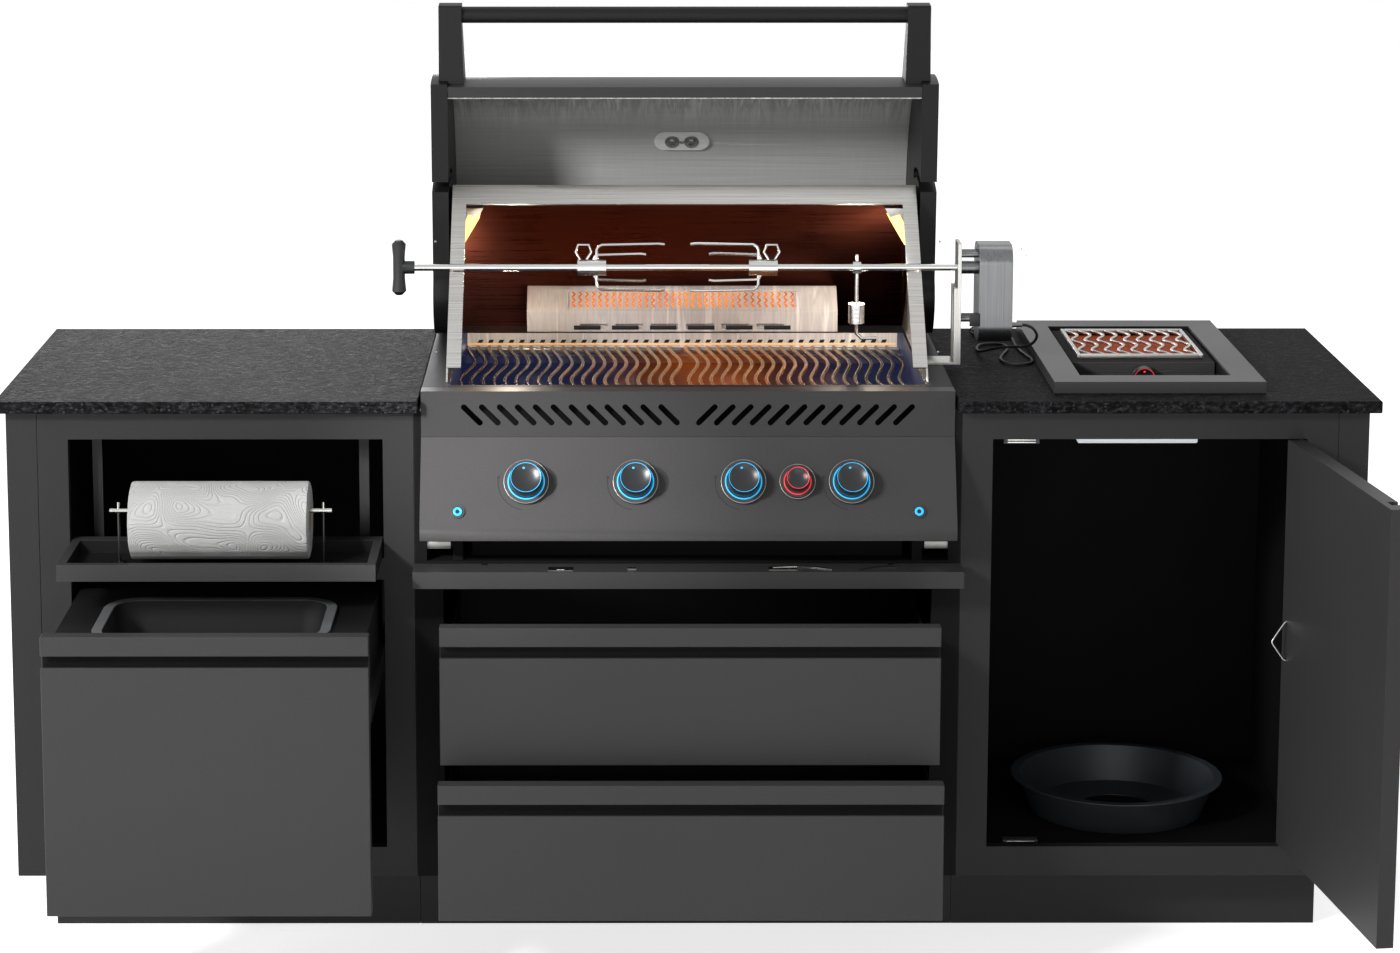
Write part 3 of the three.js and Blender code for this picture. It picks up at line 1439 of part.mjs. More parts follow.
function spitHandleSolid() {
  const { length, depth, left, right, bow, ferruleRadius, ferrule } = spitHandle;
  const middle = (left + right) / 2;
  const half = (right - left) / 2;
  const rings = [-1, -0.86, -0.4, 0.4, 0.86, 1].map((share) => {
    const grow = Math.abs(share) > 0.9 ? -bow * 1.5 : Math.abs(share) > 0.5 ? 0 : -bow / 2;
    return Array.from({ length: 16 }, (_, i) => {
      const angle = (i / 16) * 2 * Math.PI;
      return [
        middle + (half + grow) * Math.cos(angle),
        spit.depth + (depth / 2 + grow) * Math.sin(angle),
        spit.height + (share * length) / 2,
      ];
    });
  });
  const bore = bar('x', spit.radius + SEAT_GAP, spit.left - SEAT_GAP, right + ferrule + OVERRUN, spitPlace, 16);
  return lofted(rings).add(bar('x', ferruleRadius, middle, right + ferrule, spitPlace, 20)).subtract(bore);
}

// A fork on the spit: two long and two short prongs, a collar, and a wire wing that clamps it
function spitFork(x, side) {
  const { collarRadius, collarOut, collarIn, prongRadius, sides, outerSpread, innerSpread, splay } = fork;
  const { outerLength, innerLength, wingFoot, wingHeight, wingWidth, wingRadius, corner } = fork;
  const y = spit.depth;
  const z = spit.height;
  const ends = [x + side * collarOut, x - side * collarIn];
  const pieces = [
    ringAlong('x', spit.radius + spit.clearance, collarRadius, Math.min(...ends), Math.max(...ends), spitPlace, 20),
  ];
  for (const way of [-1, 1]) {
    for (const [spread, reach] of [[outerSpread, outerLength], [innerSpread, innerLength]]) {
      const offset = spread === innerSpread ? prongRadius * 2 : 0;
      const at = (along, out) => [x - side * (along - offset), y, z + way * out];
      pieces.push(bent([
        at(0, collarRadius - prongRadius), at(0, spread - corner), at(corner / 3, spread - corner / 3),
        at(corner, spread), at(reach - corner, spread + splay), at(reach, spread + splay - prongRadius / 2),
      ], prongRadius, sides));
    }
  }
  const wingX = x + side * wingFoot;
  const wing = [
    [wingX - wingWidth / 6, z + collarRadius - wingRadius],
    [wingX - wingWidth / 2, z + (collarRadius + wingHeight) / 2],
    [wingX - wingWidth / 3, z + wingHeight],
    [wingX + wingWidth / 3, z + wingHeight],
    [wingX + wingWidth / 2, z + (collarRadius + wingHeight) / 2],
    [wingX + wingWidth / 6, z + collarRadius - wingRadius],
  ];
  pieces.push(bent(wing.map(([wx, wz]) => [wx, y, wz]), wingRadius, sides));
  return joined(pieces);
}

function counterweightSolid() {
  const { x, collar, collarLength, rod, bobTop, bob, bobLength, reach, foot, screw, screwReach } = counterweight;
  const half = collarLength / 2;
  const z = spit.height;
  return joined([
    ringAlong('x', spit.radius + spit.clearance, collar, x - half, x + half, spitPlace, 20),
    bent([
      [x, spit.depth, z - collar + OVERRUN],
      [x, spit.depth, z - reach + rod * 3],
      [x + rod * 3, spit.depth, z - reach],
      [x + foot, spit.depth, z - reach],
    ], rod, 8),
    bar('z', bob, z - bobTop - bobLength, z - bobTop, [x, spit.depth], 20),
    bar('z', screw, z + collar - OVERRUN, z + screwReach, [x, spit.depth], 10),
  ]);
}

const motorDepth = spit.depth + motor.backShift;

function motorPosts(from, to, radius) {
  return [motor.postLow, motor.postHigh].flatMap((z) => [-1, 1].map((side) => bar(
    'x', radius, from, to, [motorDepth + (side * motor.postSpread) / 2, z], 10,
  )));
}

function motorBracketSolid() {
  const { x, thickness, top, width, footInner, foot, rib, ribTop } = motorBracket;
  const low = head.deckTop + SEAT_GAP;
  const near = motorDepth - width / 2;
  const far = motorDepth + width / 2;
  const solid = joined([
    box(x, x + thickness, near, far, low, top),
    box(footInner, x + OVERRUN, near, far, low, low + foot),
    box(x - thickness, x + OVERRUN, near, near + rib, low, ribTop),
    box(x - thickness, x + OVERRUN, far - rib, far, low, ribTop),
  ]);
  return solid.subtract(bar('x', motor.hub - motor.hubWall, x - OVERRUN, x + thickness + OVERRUN, spitPlace, 20));
}

function motorSolid() {
  const { left, right, width, low, high, corner, post, hub, hubWall } = motor;
  const seat = motorBracket.x + motorBracket.thickness + SEAT_GAP;
  const body = prism('x', roundedRectangle(width, high - low, corner, motorDepth, (low + high) / 2), left, right);
  const relief = revolved('x', [
    [0, right - OVERRUN], [cord.reliefRadius, right - OVERRUN],
    [cord.reliefTip, right + cord.reliefLength], [0, right + cord.reliefLength],
  ], 12, 0, cord.exitDepth, cord.exitHeight);
  const socket = bar('x', hub - hubWall, seat - OVERRUN, spit.right + SEAT_GAP * 2, spitPlace, 20);
  return joined([body, relief, bar('x', hub, seat, left + OVERRUN, spitPlace, 24), ...motorPosts(seat, left + OVERRUN, post)])
    .subtract(socket);
}

const cordStart = motor.right + cord.reliefLength + SEAT_GAP;
const cordRest = worktopTop + SEAT_GAP + cord.radius;

function cordPath() {
  const points = cord.route.map((p) => new THREE.Vector3(...p));
  points[0].set(cordStart, cord.exitDepth, cord.exitHeight);
  points[points.length - 1].set(cord.coilX + cord.coilOuter, cord.coilDepth - cord.endGap, cordRest);
  return new THREE.CatmullRomCurve3(points, false, 'centripetal').getPoints(cord.steps);
}

// A point on the coil, after so many turns from its start
function coilPoint(turns) {
  const { coilX, coilDepth, coilOuter, coilPitch, layerPitch, layers, turnsPerLayer, climbShare, tailRadius } = cord;
  const angle = turns * 2 * Math.PI;
  const wound = layers * turnsPerLayer;
  if (turns > wound) {
    const rise = plug.thickness / 2 + cord.radius + SEAT_GAP - layerPitch;
    return new THREE.Vector3(
      coilX + coilOuter - tailRadius * (1 - Math.cos(angle)),
      coilDepth + tailRadius * Math.sin(angle),
      cordRest + layers * layerPitch + rise * Math.min(1, (turns - wound) / climbShare / 2),
    );
  }
  const layer = Math.min(Math.floor(turns / turnsPerLayer), layers - 1);
  const within = turns - layer * turnsPerLayer;
  const whole = Math.min(Math.floor(within), turnsPerLayer - 1);
  const stepped = whole + Math.min(1, (within - whole) * 2);
  const radius = layer % 2 === 0 ? coilOuter - coilPitch * within : coilOuter - coilPitch * (turnsPerLayer - stepped);
  const climb = THREE.MathUtils.smoothstep(within, turnsPerLayer - climbShare, turnsPerLayer);
  return new THREE.Vector3(
    coilX + radius * Math.cos(angle), coilDepth + radius * Math.sin(angle), cordRest + (layer + climb) * layerPitch,
  );
}

function coilPath() {
  const turns = cord.layers * cord.turnsPerLayer + cord.tailTurn;
  const count = Math.round(turns * cord.stepsPerTurn);
  return Array.from({ length: count + 1 }, (_, i) => coilPoint((i / count) * turns));
}

// The least room between one stretch of a path and another that lies over a given distance along it
function leastGap(path, radius, apart) {
  const along = [0];
  for (let i = 1; i < path.length; i += 1) along.push(along[i - 1] + path[i].distanceTo(path[i - 1]));
  let least = Infinity;
  const segment = new THREE.Line3();
  const nearest = new THREE.Vector3();
  for (let i = 0; i < path.length; i += 1) {
    for (let j = 0; j < path.length - 1; j += 1) {
      if (Math.abs(along[i] - along[j]) > apart) {
        segment.set(path[j], path[j + 1]).closestPointToPoint(path[i], true, nearest);
        least = Math.min(least, nearest.distanceTo(path[i]));
      }
    }
  }
  return { length: along[along.length - 1], gap: least - 2 * radius };
}

function motorPlug() {
  const { length, width, thickness, blade, bladeWidth, bladeThickness, bladeSpread, neck } = plug;
  const end = coilPoint(cord.layers * cord.turnsPerLayer + cord.tailTurn);
  const from = end.y - cord.endGap;
  const ring = (share, y) => {
    const [w, t] = [(width / 2) * share, (thickness / 2) * share];
    return roundedRing(w * 2, t * 2, t * 0.8, end.x, 0, 0, 3).map(([x, z]) => [x, y, end.z + z]);
  };
  const body = lofted([
    ring(neck, from), ring(neck, from - length * 0.3), ring(1, from - length * 0.5), ring(1, from - length),
  ]);
  const blades = [-1, 1].map((side) => {
    const x = end.x + side * bladeSpread;
    const z = end.z - bladeWidth / 2;
    return box(
      x - bladeThickness / 2, x + bladeThickness / 2, from - length - blade, from - length + OVERRUN, z, z + bladeWidth,
    );
  });
  return joined([body, ...blades]);
}

// Side burner: a frame on the worktop, a pan hung in it with the burner's box, and a grid

const frameTop = worktopTop + sideBurner.rise;
const well = {
  x0: sideBurner.x - sideBurner.wellHalf,
  x1: sideBurner.x + sideBurner.wellHalf,
  y0: sideBurner.front + sideBurner.wellFront,
  y1: sideBurner.front + sideBurner.wellFront + sideBurner.wellDepth,
};
const burnerBox = {
  x0: well.x0 + sideBurner.boxSide,
  x1: well.x1 - sideBurner.boxSide,
  y0: well.y0 + sideBurner.boxSetback,
  y1: well.y1 - sideBurner.boxBack,
  top: frameTop - sideBurner.boxDrop,
};
const sideWindow = {
  x0: sideBurner.x - sideBurner.windowWidth / 2,
  x1: sideBurner.x + sideBurner.windowWidth / 2,
  y0: burnerBox.y0 + sideBurner.windowSetback,
  y1: burnerBox.y0 + sideBurner.windowSetback + sideBurner.windowDepth,
};

function sideBurnerFrame() {
  const { x, width, front: y0, depth, sheet } = sideBurner;
  const low = worktopTop + SEAT_GAP;
  const half = width / 2;
  const outer = box(x - half, x + half, y0, y0 + depth, low, frameTop);
  return cut(outer, [
    box(x - half + sheet, x + half - sheet, y0 + sheet, y0 + depth - sheet, low - OVERRUN, frameTop - sheet),
    box(well.x0, well.x1, well.y0, well.y1, low, frameTop + OVERRUN),
  ]);
}

function sideBurnerBody() {
  const { sheet, panDrop, panFlange, plateDrop, inlet } = sideBurner;
  const low = worktopTop - panDrop;
  const rim = frameTop - sheet - SEAT_GAP;
  const pan = box(well.x0 - sheet, well.x1 + sheet, well.y0 - sheet, well.y1 + sheet, low, rim)
    .add(box(
      well.x0 - panFlange * 2, well.x1 + panFlange * 2, well.y0 - panFlange * 2, well.y1 + panFlange * 2,
      rim - sheet, rim,
    ))
    .subtract(box(well.x0, well.x1, well.y0, well.y1, low + sheet, rim + OVERRUN));
  const { x0, x1, y0, y1, top } = burnerBox;
  const burnerCase = box(x0, x1, y0, y1, low + sheet / 2, top)
    .subtract(box(x0 + sheet, x1 - sheet, y0 + sheet, y1 - sheet, low + sheet, top - sheet))
    .subtract(box(sideWindow.x0, sideWindow.x1, sideWindow.y0, sideWindow.y1, top - sheet - OVERRUN, top + OVERRUN));
  const plate = box(
    x0 + sheet / 2, x1 - sheet / 2, y0 + sheet / 2, y1 - sheet / 2, top - plateDrop, top - plateDrop + sheet * 2,
  );
  const reach = sideKnob.height - sideKnob.crown - SEAT_GAP;
  const stem = bar('y', sideKnob.stem, y0 - reach, y0 + sheet / 2, [sideBurner.x, top - sideKnob.drop], 12);
  // The gas inlet comes up through the pan's floor, under the box
  const middle = [sideBurner.x, (y0 + y1) / 2];
  const port = box(
    middle[0] - inlet / 2, middle[0] + inlet / 2, middle[1] - inlet / 2, middle[1] + inlet / 2,
    low - OVERRUN, low + sheet * 2,
  );
  return joined([pan, burnerCase, plate, stem]).subtract(port);
}

function sideBurnerGrid() {
  const { bar: thick, rod, rods, wave, halfWaves, steps, overlap } = sideGrid;
  const outer = [
    sideWindow.x0 - overlap, sideWindow.x1 + overlap, sideWindow.y0 - overlap, sideWindow.y1 + overlap,
  ];
  const low = burnerBox.top + SEAT_GAP;
  const high = low + thick * 2;
  const edge = thick * 1.5;
  const frame = box(...outer, low, high).subtract(
    box(outer[0] + edge, outer[1] - edge, outer[2] + edge, outer[3] - edge, low - OVERRUN, high + OVERRUN),
  );
  const room = outer[1] - outer[0] - 2 * edge;
  const pitch = room / (rods + 1 - 1 / rods);
  const reach = outer[3] - outer[2] - edge;
  const count = halfWaves * steps;
  const pieces = [frame];
  for (let i = 0; i < rods; i += 1) {
    const x = sideBurner.x + (i - (rods - 1) / 2) * pitch;
    const points = Array.from({ length: count + 1 }, (_, k) => [
      x + wave * Math.cos((Math.PI * halfWaves * k) / count),
      outer[2] + edge / 2 + (reach * k) / count,
      (low + high) / 2,
    ]);
    pieces.push(bent(points, rod, 4));
  }
  return joined(pieces);
}

function sideKnobSolid() {
  const { radius, height, crown, stem, seat } = sideKnob;
  const bore = stem + PIN_CLEARANCE;
  const geometry = turned('z', [
    [bore, seat], [radius, seat], [radius, height * 0.6], [radius * 0.86, height], [0, height],
    [0, height - crown], [bore, height - crown], [bore, seat],
  ], 28);
  geometry.rotateX(Math.PI / 2);
  geometry.translate(sideBurner.x, burnerBox.y0, burnerBox.top - sideKnob.drop);
  return toSolid(geometry);
}

// The whole island

put('left_carcass', leftCarcass(), finishes.steel);
put('centre_carcass', centreCarcass(), finishes.steel);
put('right_carcass', rightCarcass(), finishes.steel);
put('left_end_panel', endPanel(-1), finishes.steel);
put('right_end_panel', endPanel(1), finishes.steel);
put('left_worktop', worktopSlab(-1), finishes.stone);
put('right_worktop', worktopSlab(1), finishes.stone);
towelDoor();
binUnit();
accessFlap();
centreDrawer(upperDrawer, 'upper_drawer');
centreDrawer(lowerDrawer, 'lower_drawer');
gasCupboard();

put('vent_panel', ventPanel(), finishes.steel);
put('control_panel', controlPanel(), finishes.steel);
put('firebox', firebox(), finishes.darkSteel);
put('hood_frame', hoodFrame(), finishes.stainless);
const gridMiddle = (grid.width + grid.gap) / 2;
put('cooking_grid_left', cookingGrid(-gridMiddle), finishes.stainless);
put('cooking_grid_right', cookingGrid(gridMiddle), finishes.stainless);
put('burner_set', burnerSet(), finishes.stainless);
put('rear_burner', rearBurnerSolid(), finishes.stainless);
put('drip_tray', dripTraySolid(), finishes.stainless);
knobPlaces.forEach((x, i) => put('sear_plate_' + (i + 1), searPlateSolid(x), finishes.stainless));

const lidGroup = turnedGroup(lid.pivotDepth, lid.pivotHeight, -lid.openAngle);
put('lid_shell', lidShell(), finishes.steel, lidGroup);
put('lid_liner', lidLiner(), finishes.stainless, lidGroup);
put('lid_cap_left', lidCap(-1), finishes.castAluminium, lidGroup);
put('lid_cap_right', lidCap(1), finishes.castAluminium, lidGroup);
put('lid_handle', lidHandleSolid(), finishes.stainless, lidGroup);
put('lid_gauge', lidGauge(), finishes.stainless, lidGroup);

put('spit_rod', bar('x', spit.radius, spit.left, spit.right, spitPlace, 16), finishes.stainless);
put('spit_handle', spitHandleSolid(), finishes.blackPlastic);
put('spit_fork_left', spitFork(fork.leftX, -1), finishes.stainless);
put('spit_fork_right', spitFork(fork.rightX, 1), finishes.stainless);
put('counterweight', counterweightSolid(), finishes.stainless);
put('motor_bracket', motorBracketSolid(), finishes.stainless);
put('motor', motorSolid(), finishes.greyPlastic);
const cordPoints = cordPath();
const coilPoints = coilPath();
const turnLength = cord.coilOuter * Math.PI;
const measured = leastGap(coilPoints, cord.radius, turnLength);
const loose = leastGap(cordPoints, cord.radius, turnLength);
console.log('coil: length', measured.length.toFixed(1), 'least gap to itself', measured.gap.toFixed(2));
console.log('cord: length', loose.length.toFixed(1), 'least gap to itself', loose.gap.toFixed(2));
put('motor_cord', bent(cordPoints.map((p) => p.toArray()), cord.radius, cord.sides), finishes.rubber);
put('cord_coil', bent(coilPoints.map((p) => p.toArray()), cord.radius, cord.coilSides), finishes.rubber);
put('motor_plug', motorPlug(), finishes.blackPlastic);

knobPlaces.forEach((x, i) => {
  put('burner_knob_' + (i + 1), knobSolid(knob), finishes.castAluminium, panelGroup(x, knobShare));
});
put('rear_burner_knob', knobSolid(rearKnob), finishes.castAluminium, panelGroup(rearKnob.x, knobShare));
put('ignition_button', buttonSolid(), finishes.bluePlastic, panelGroup(-panelButton.x, panelButton.share));
put('light_button', buttonSolid(), finishes.bluePlastic, panelGroup(panelButton.x, panelButton.share));
put('side_burner_frame', sideBurnerFrame(), finishes.steel);
put('side_burner_body', sideBurnerBody(), finishes.steel);
put('side_burner_grid', sideBurnerGrid(), finishes.stainless);
put('side_burner_knob', sideKnobSolid(), finishes.castAluminium);

island.position.y = -plinthMiddle;
island.updateMatrixWorld(true);
export default island;
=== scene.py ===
"""An outdoor kitchen island with a lidded grill head, drawers, a waste bin, a gas cupboard and a side burner."""

import json
import math

import bmesh
import bpy
from mathutils import Matrix, Vector

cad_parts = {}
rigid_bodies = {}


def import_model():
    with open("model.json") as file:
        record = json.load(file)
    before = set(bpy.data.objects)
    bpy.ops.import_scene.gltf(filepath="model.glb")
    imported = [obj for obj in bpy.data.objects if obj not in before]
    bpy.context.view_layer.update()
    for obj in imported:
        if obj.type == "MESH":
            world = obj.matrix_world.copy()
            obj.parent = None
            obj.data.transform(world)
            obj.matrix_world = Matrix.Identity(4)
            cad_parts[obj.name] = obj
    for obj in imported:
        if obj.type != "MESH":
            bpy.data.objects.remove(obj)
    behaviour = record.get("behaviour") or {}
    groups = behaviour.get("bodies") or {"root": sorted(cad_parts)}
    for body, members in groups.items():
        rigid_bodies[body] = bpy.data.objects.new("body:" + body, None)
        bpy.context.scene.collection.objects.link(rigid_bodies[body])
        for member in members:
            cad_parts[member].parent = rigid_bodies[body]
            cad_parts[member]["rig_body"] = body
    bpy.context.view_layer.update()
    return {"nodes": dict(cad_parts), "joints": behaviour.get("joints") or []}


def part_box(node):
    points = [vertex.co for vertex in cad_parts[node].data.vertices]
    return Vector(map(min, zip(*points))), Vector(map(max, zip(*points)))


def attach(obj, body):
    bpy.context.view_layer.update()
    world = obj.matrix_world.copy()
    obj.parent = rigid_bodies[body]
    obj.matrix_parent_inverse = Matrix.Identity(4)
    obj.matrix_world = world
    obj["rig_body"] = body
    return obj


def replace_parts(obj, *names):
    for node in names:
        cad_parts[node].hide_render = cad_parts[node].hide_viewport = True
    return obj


bl_info = {
    "name": "Outdoor kitchen island",
    "version": (1, 0, 0),
    "blender": (4, 5, 0),
    "location": "3D View > Sidebar > Island",
    "description": "Dresses the packed kitchen island with its finishes and fittings",
    "category": "Object",
}

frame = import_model()
NODES = frame["nodes"]
PLINTH_MIDDLE = 0.339
MILLIMETRES = Matrix.Scale(0.001, 4)


# Places and colours

def place(x, depth, z):
    """A point given in millimetres from the cabinet's front, in the row's metres."""
    return Vector((x / 1000, depth / 1000 - PLINTH_MIDDLE, z / 1000))


def linear(hex_value):
    """An sRGB hex colour as linear light."""
    def channel(byte):
        value = byte / 255
        return value / 12.92 if value <= 0.04045 else ((value + 0.055) / 1.055) ** 2.4
    number = int(hex_value.lstrip("#"), 16)
    return tuple(channel(number >> shift & 255) for shift in (16, 8, 0))


def rgba(colour):
    return (*tuple(colour)[:3], 1)


def shade(colour, factor):
    return (*[min(1, c * factor) for c in tuple(colour)[:3]], 1)


def colour_property(name, description, hex_value):
    return bpy.props.FloatVectorProperty(
        name=name, description=description, subtype="COLOR", size=3, min=0, max=1, default=linear(hex_value),
    )


def length_property(name, description, metres):
    return bpy.props.FloatProperty(name=name, description=description, unit="LENGTH", min=0, default=metres)


class IslandSizes(bpy.types.PropertyGroup):
    """Sizes of the fittings that are made here."""
    edge_radius: length_property("Folded edge", "Radius of the folded sheet edges", 0.0012)
    grid_rod: length_property("Grid rod", "Thickness of a cooking grid's rod", 0.0072)
    grid_wave: length_property("Grid wave", "How far a rod swings to each side", 0.009)
    screw_head: length_property("Screw head", "Diameter of a screw head", 0.0042)
    cord_diameter: length_property("Cord", "Diameter of the motor's cord", 0.005)


class IslandColours(bpy.types.PropertyGroup):
    """Colours of the finishes, named by what they are on."""
    powder_coat: colour_property("Powder coat", "Satin powder coat on the cabinets", "#393838")
    dark_coat: colour_property("Dark coat", "Coat inside the cabinets and on the drawer boxes", "#141415")
    stone: colour_property("Stone", "Ground of the worktop stone", "#171718")
    stone_fleck: colour_property("Stone fleck", "Pale grains in the worktop stone", "#45484b")
    stainless: colour_property("Stainless steel", "Brushed stainless steel", "#c9c8c4")
    knob_light: colour_property("Knob light", "Lit rings of the burner knobs", "#28a6e0")
    rear_light: colour_property("Rear knob light", "Lit ring of the rear and side burner knobs", "#e8343c")
    heat: colour_property("Heat", "Glow of hot steel and ceramic", "#ff7a1a")
    # Greyed from the paper's white as painted shade of its bay
    paper: colour_property("Paper", "Paper towel", "#b8b8b7")


# Nodes

def add(tree, kind, inputs=None, **settings):
    """Adds a node, with its settings, and its sockets set or linked."""
    made = tree.nodes.new(kind)
    for key, value in settings.items():
        setattr(made, key, value)
    for key, value in (inputs or {}).items():
        if isinstance(value, bpy.types.NodeSocket):
            tree.links.new(value, made.inputs[key])
        else:
            made.inputs[key].default_value = value
    return made


def object_pattern(tree, scale=(1, 1, 1), turn=(0, 0, 0)):
    """Object coordinates in metres, stretched or turned for a pattern."""
    coordinates = add(tree, "ShaderNodeTexCoord").outputs["Object"]
    return add(tree, "ShaderNodeMapping", {
        "Vector": coordinates, "Scale": scale, "Rotation": turn,
    }).outputs["Vector"]


def part_of(tree, vector, axis):
    return add(tree, "ShaderNodeSeparateXYZ", {"Vector": vector}).outputs[axis]


def noise(tree, pattern, scale, detail, roughness=0.5):
    return add(tree, "ShaderNodeTexNoise", {
        "Vector": pattern, "Scale": scale, "Detail": detail, "Roughness": roughness,
    }).outputs["Fac"]


def maths(tree, operation, *values, **settings):
    return add(tree, "ShaderNodeMath", dict(enumerate(values)), operation=operation, **settings).outputs[0]


def spread(tree, value, low, high, to_low=0, to_high=1, **settings):
    """Maps one range of a value on another."""
    return add(tree, "ShaderNodeMapRange", {
        "Value": value, "From Min": low, "From Max": high, "To Min": to_low, "To Max": to_high,
    }, **settings).outputs["Result"]


def mixed(tree, factor, first, second):
    """Mixes two colours."""
    return add(tree, "ShaderNodeMix", {"Factor": factor, 6: first, 7: second}, data_type="RGBA").outputs[2]


def ramp(tree, value, stops):
    """A colour ramp from (position, colour) stops."""
    made = add(tree, "ShaderNodeValToRGB", {"Fac": value})
    elements = made.color_ramp.elements
    while len(elements) < len(stops):
        elements.new(0.5)
    for element, (position, colour) in zip(elements, stops):
        element.position = position
        element.color = rgba(colour)
    return made.outputs["Color"]


def shades(tree, value, colour, *stops):
    """A ramp through shades of one colour, from (position, factor) stops."""
    return ramp(tree, value, [(position, shade(colour, factor)) for position, factor in stops])


def bumped(tree, height, strength, distance):
    return add(tree, "ShaderNodeBump", {
        "Height": height, "Strength": strength, "Distance": distance,
    }).outputs["Normal"]


def surface(tree, inputs):
    return add(tree, "ShaderNodeBsdfPrincipled", inputs).outputs["BSDF"]


# Finishes

BLACK = (0, 0, 0)
WHITE = (1, 1, 1)


def powder_coat(tree, colour, roughness):
    """Powder-coated folded steel: a fine orange peel 2 mm across breaks up a soft sheen."""
    pattern = object_pattern(tree)
    peel = noise(tree, pattern, 420, 2, 0.6)
    cloud = noise(tree, pattern, 2.2, 3, 0.55)
    tint = shades(tree, cloud, colour, (0.3, 0.93), (0.7, 1.07))
    specks = shades(tree, peel, colour, (0.35, 0.55), (0.7, 1.8))
    return surface(tree, {
        "Base Color": mixed(tree, 0.09, tint, specks),
        "Roughness": spread(tree, cloud, 0.3, 0.7, roughness - 0.03, roughness + 0.04),
        "IOR": 1.5, "Specular IOR Level": 0.2, "Normal": bumped(tree, peel, 0.16, 0.0005),
    })


def leathered_stone(tree, colour, fleck):
    """Leathered dark granite: grains 3 to 6 mm across, a few of them pale."""
    stretched = object_pattern(tree, (0.55, 1.2, 1))
    grain = add(tree, "ShaderNodeTexVoronoi", {"Vector": object_pattern(tree), "Scale": 330, "Randomness": 1})
    fine = noise(tree, stretched, 170, 2, 0.6)
    drift = noise(tree, stretched, 34, 4, 0.65)
    ground = shades(tree, fine, colour, (0.36, 0.2), (0.47, 0.8), (0.56, 2.4), (0.68, 5.5))
    veined = mixed(tree, 0.4, ground, shades(tree, drift, colour, (0.35, 0.4), (0.65, 2.6)))
    value = add(tree, "ShaderNodeSeparateColor", {"Color": grain.outputs["Color"]}).outputs["Red"]
    glint = ramp(tree, value, [(0.9, BLACK), (0.98, (0.7, 0.7, 0.7))])
    return surface(tree, {
        "Base Color": mixed(tree, glint, veined, rgba(fleck)),
        "Roughness": spread(tree, fine, 0.3, 0.7, 0.42, 0.7),
        "IOR": 1.4, "Specular IOR Level": 0.03, "Normal": bumped(tree, fine, 1.0, 0.004),
    })


def brushed_steel(tree, colour, along, roughness):
    """Brushed stainless steel: hairlines along one axis, 2 mm apart, that stretch the highlights."""
    scale = [520, 520, 520]
    scale["XYZ".index(along)] = 5
    lines = noise(tree, object_pattern(tree, scale), 1, 3, 0.6)
    smear = noise(tree, object_pattern(tree), 9, 3)
    return surface(tree, {
        "Base Color": shades(tree, lines, colour, (0.3, 0.78), (0.7, 1.12)), "Metallic": 1.0,
        "Roughness": spread(tree, maths(tree, "ADD", lines, smear), 0.7, 1.3, roughness - 0.08, roughness + 0.1),
        "Normal": bumped(tree, lines, 0.12, 0.0004),
    })


def reflection_streaked_steel(tree, colour, crest, depth):
    """Bright sheet steel with its ripples' reflections painted on as upright light and dark streaks above a height,
    more or less deep.
    """
    height = part_of(tree, object_pattern(tree), "Z")
    ripples = noise(tree, object_pattern(tree, (62, 6, 5), (0, 0.16, 0)), 1, 3, 0.6)
    lines = noise(tree, object_pattern(tree, (5, 520, 520)), 1, 3)
    near = spread(tree, height, crest, crest + 0.1, 0.04, interpolation_type="SMOOTHSTEP")
    ripple_reflections = shades(tree, ripples, colour, (0.36, 1 - depth), (0.47, 1), (0.53, 1 - depth), (0.64, 1.25))
    plain = shades(tree, lines, colour, (0.3, 0.82), (0.7, 1))
    return surface(tree, {
        "Base Color": mixed(tree, near, plain, ripple_reflections), "Metallic": 0.15, "Roughness": 0.4,
        "Normal": bumped(tree, lines, 0.1, 0.0004),
    })


def flame_lit(tree, heat):
    """Steel over the flames, with their light painted on as a glow: blue where the gas burns low, orange over the
    middle burners.
    """
    pattern = object_pattern(tree)
    across = maths(tree, "MULTIPLY_ADD", noise(tree, pattern, 11, 3, 0.6), 0.3, part_of(tree, pattern, "X"))
    blue = (0.008, 0.012, 0.045)
    glow = ramp(tree, spread(tree, across, -0.25, 0.55), [
        (0.0, blue), (0.28, blue), (0.42, shade(heat, 0.08)), (0.56, shade(heat, 0.26)),
        (0.7, shade(heat, 0.06)), (0.86, blue),
    ])
    return surface(tree, {
        "Base Color": (0.03, 0.032, 0.04, 1), "Roughness": 0.45,
        "Emission Color": glow, "Emission Strength": 0.75,
    })


def firelit_steel(tree, colour):
    """Stainless rods with the flames' light painted on: blue at the sides, straw and orange over the burners, darker
    at both ends, with a faint painted glow.
    """
    pattern = object_pattern(tree)
    drift = maths(tree, "MULTIPLY_ADD", noise(tree, pattern, 14, 3, 0.6), 0.34, -0.17)
    share = spread(tree, maths(tree, "ADD", part_of(tree, pattern, "X"), drift), -0.4, 0.4)
    # The flames' light painted on the rods, darker at both ends
    tint = ramp(tree, share, [
        (0.0, shade(colour, 0.25)), (0.2, (0.12, 0.15, 0.2)), (0.34, (0.3, 0.22, 0.14)), (0.5, (0.45, 0.22, 0.07)),
        (0.66, (0.45, 0.17, 0.04)), (0.84, (0.2, 0.18, 0.16)), (1.0, shade(colour, 0.25)),
    ])
    warm = ramp(tree, share, [(0.18, BLACK), (0.45, (1, 0.42, 0.1)), (0.68, (1, 0.36, 0.06)), (0.88, BLACK)])
    return surface(tree, {
        "Base Color": tint, "Metallic": 1.0, "Roughness": 0.27, "Emission Color": warm, "Emission Strength": 0.08,
    })


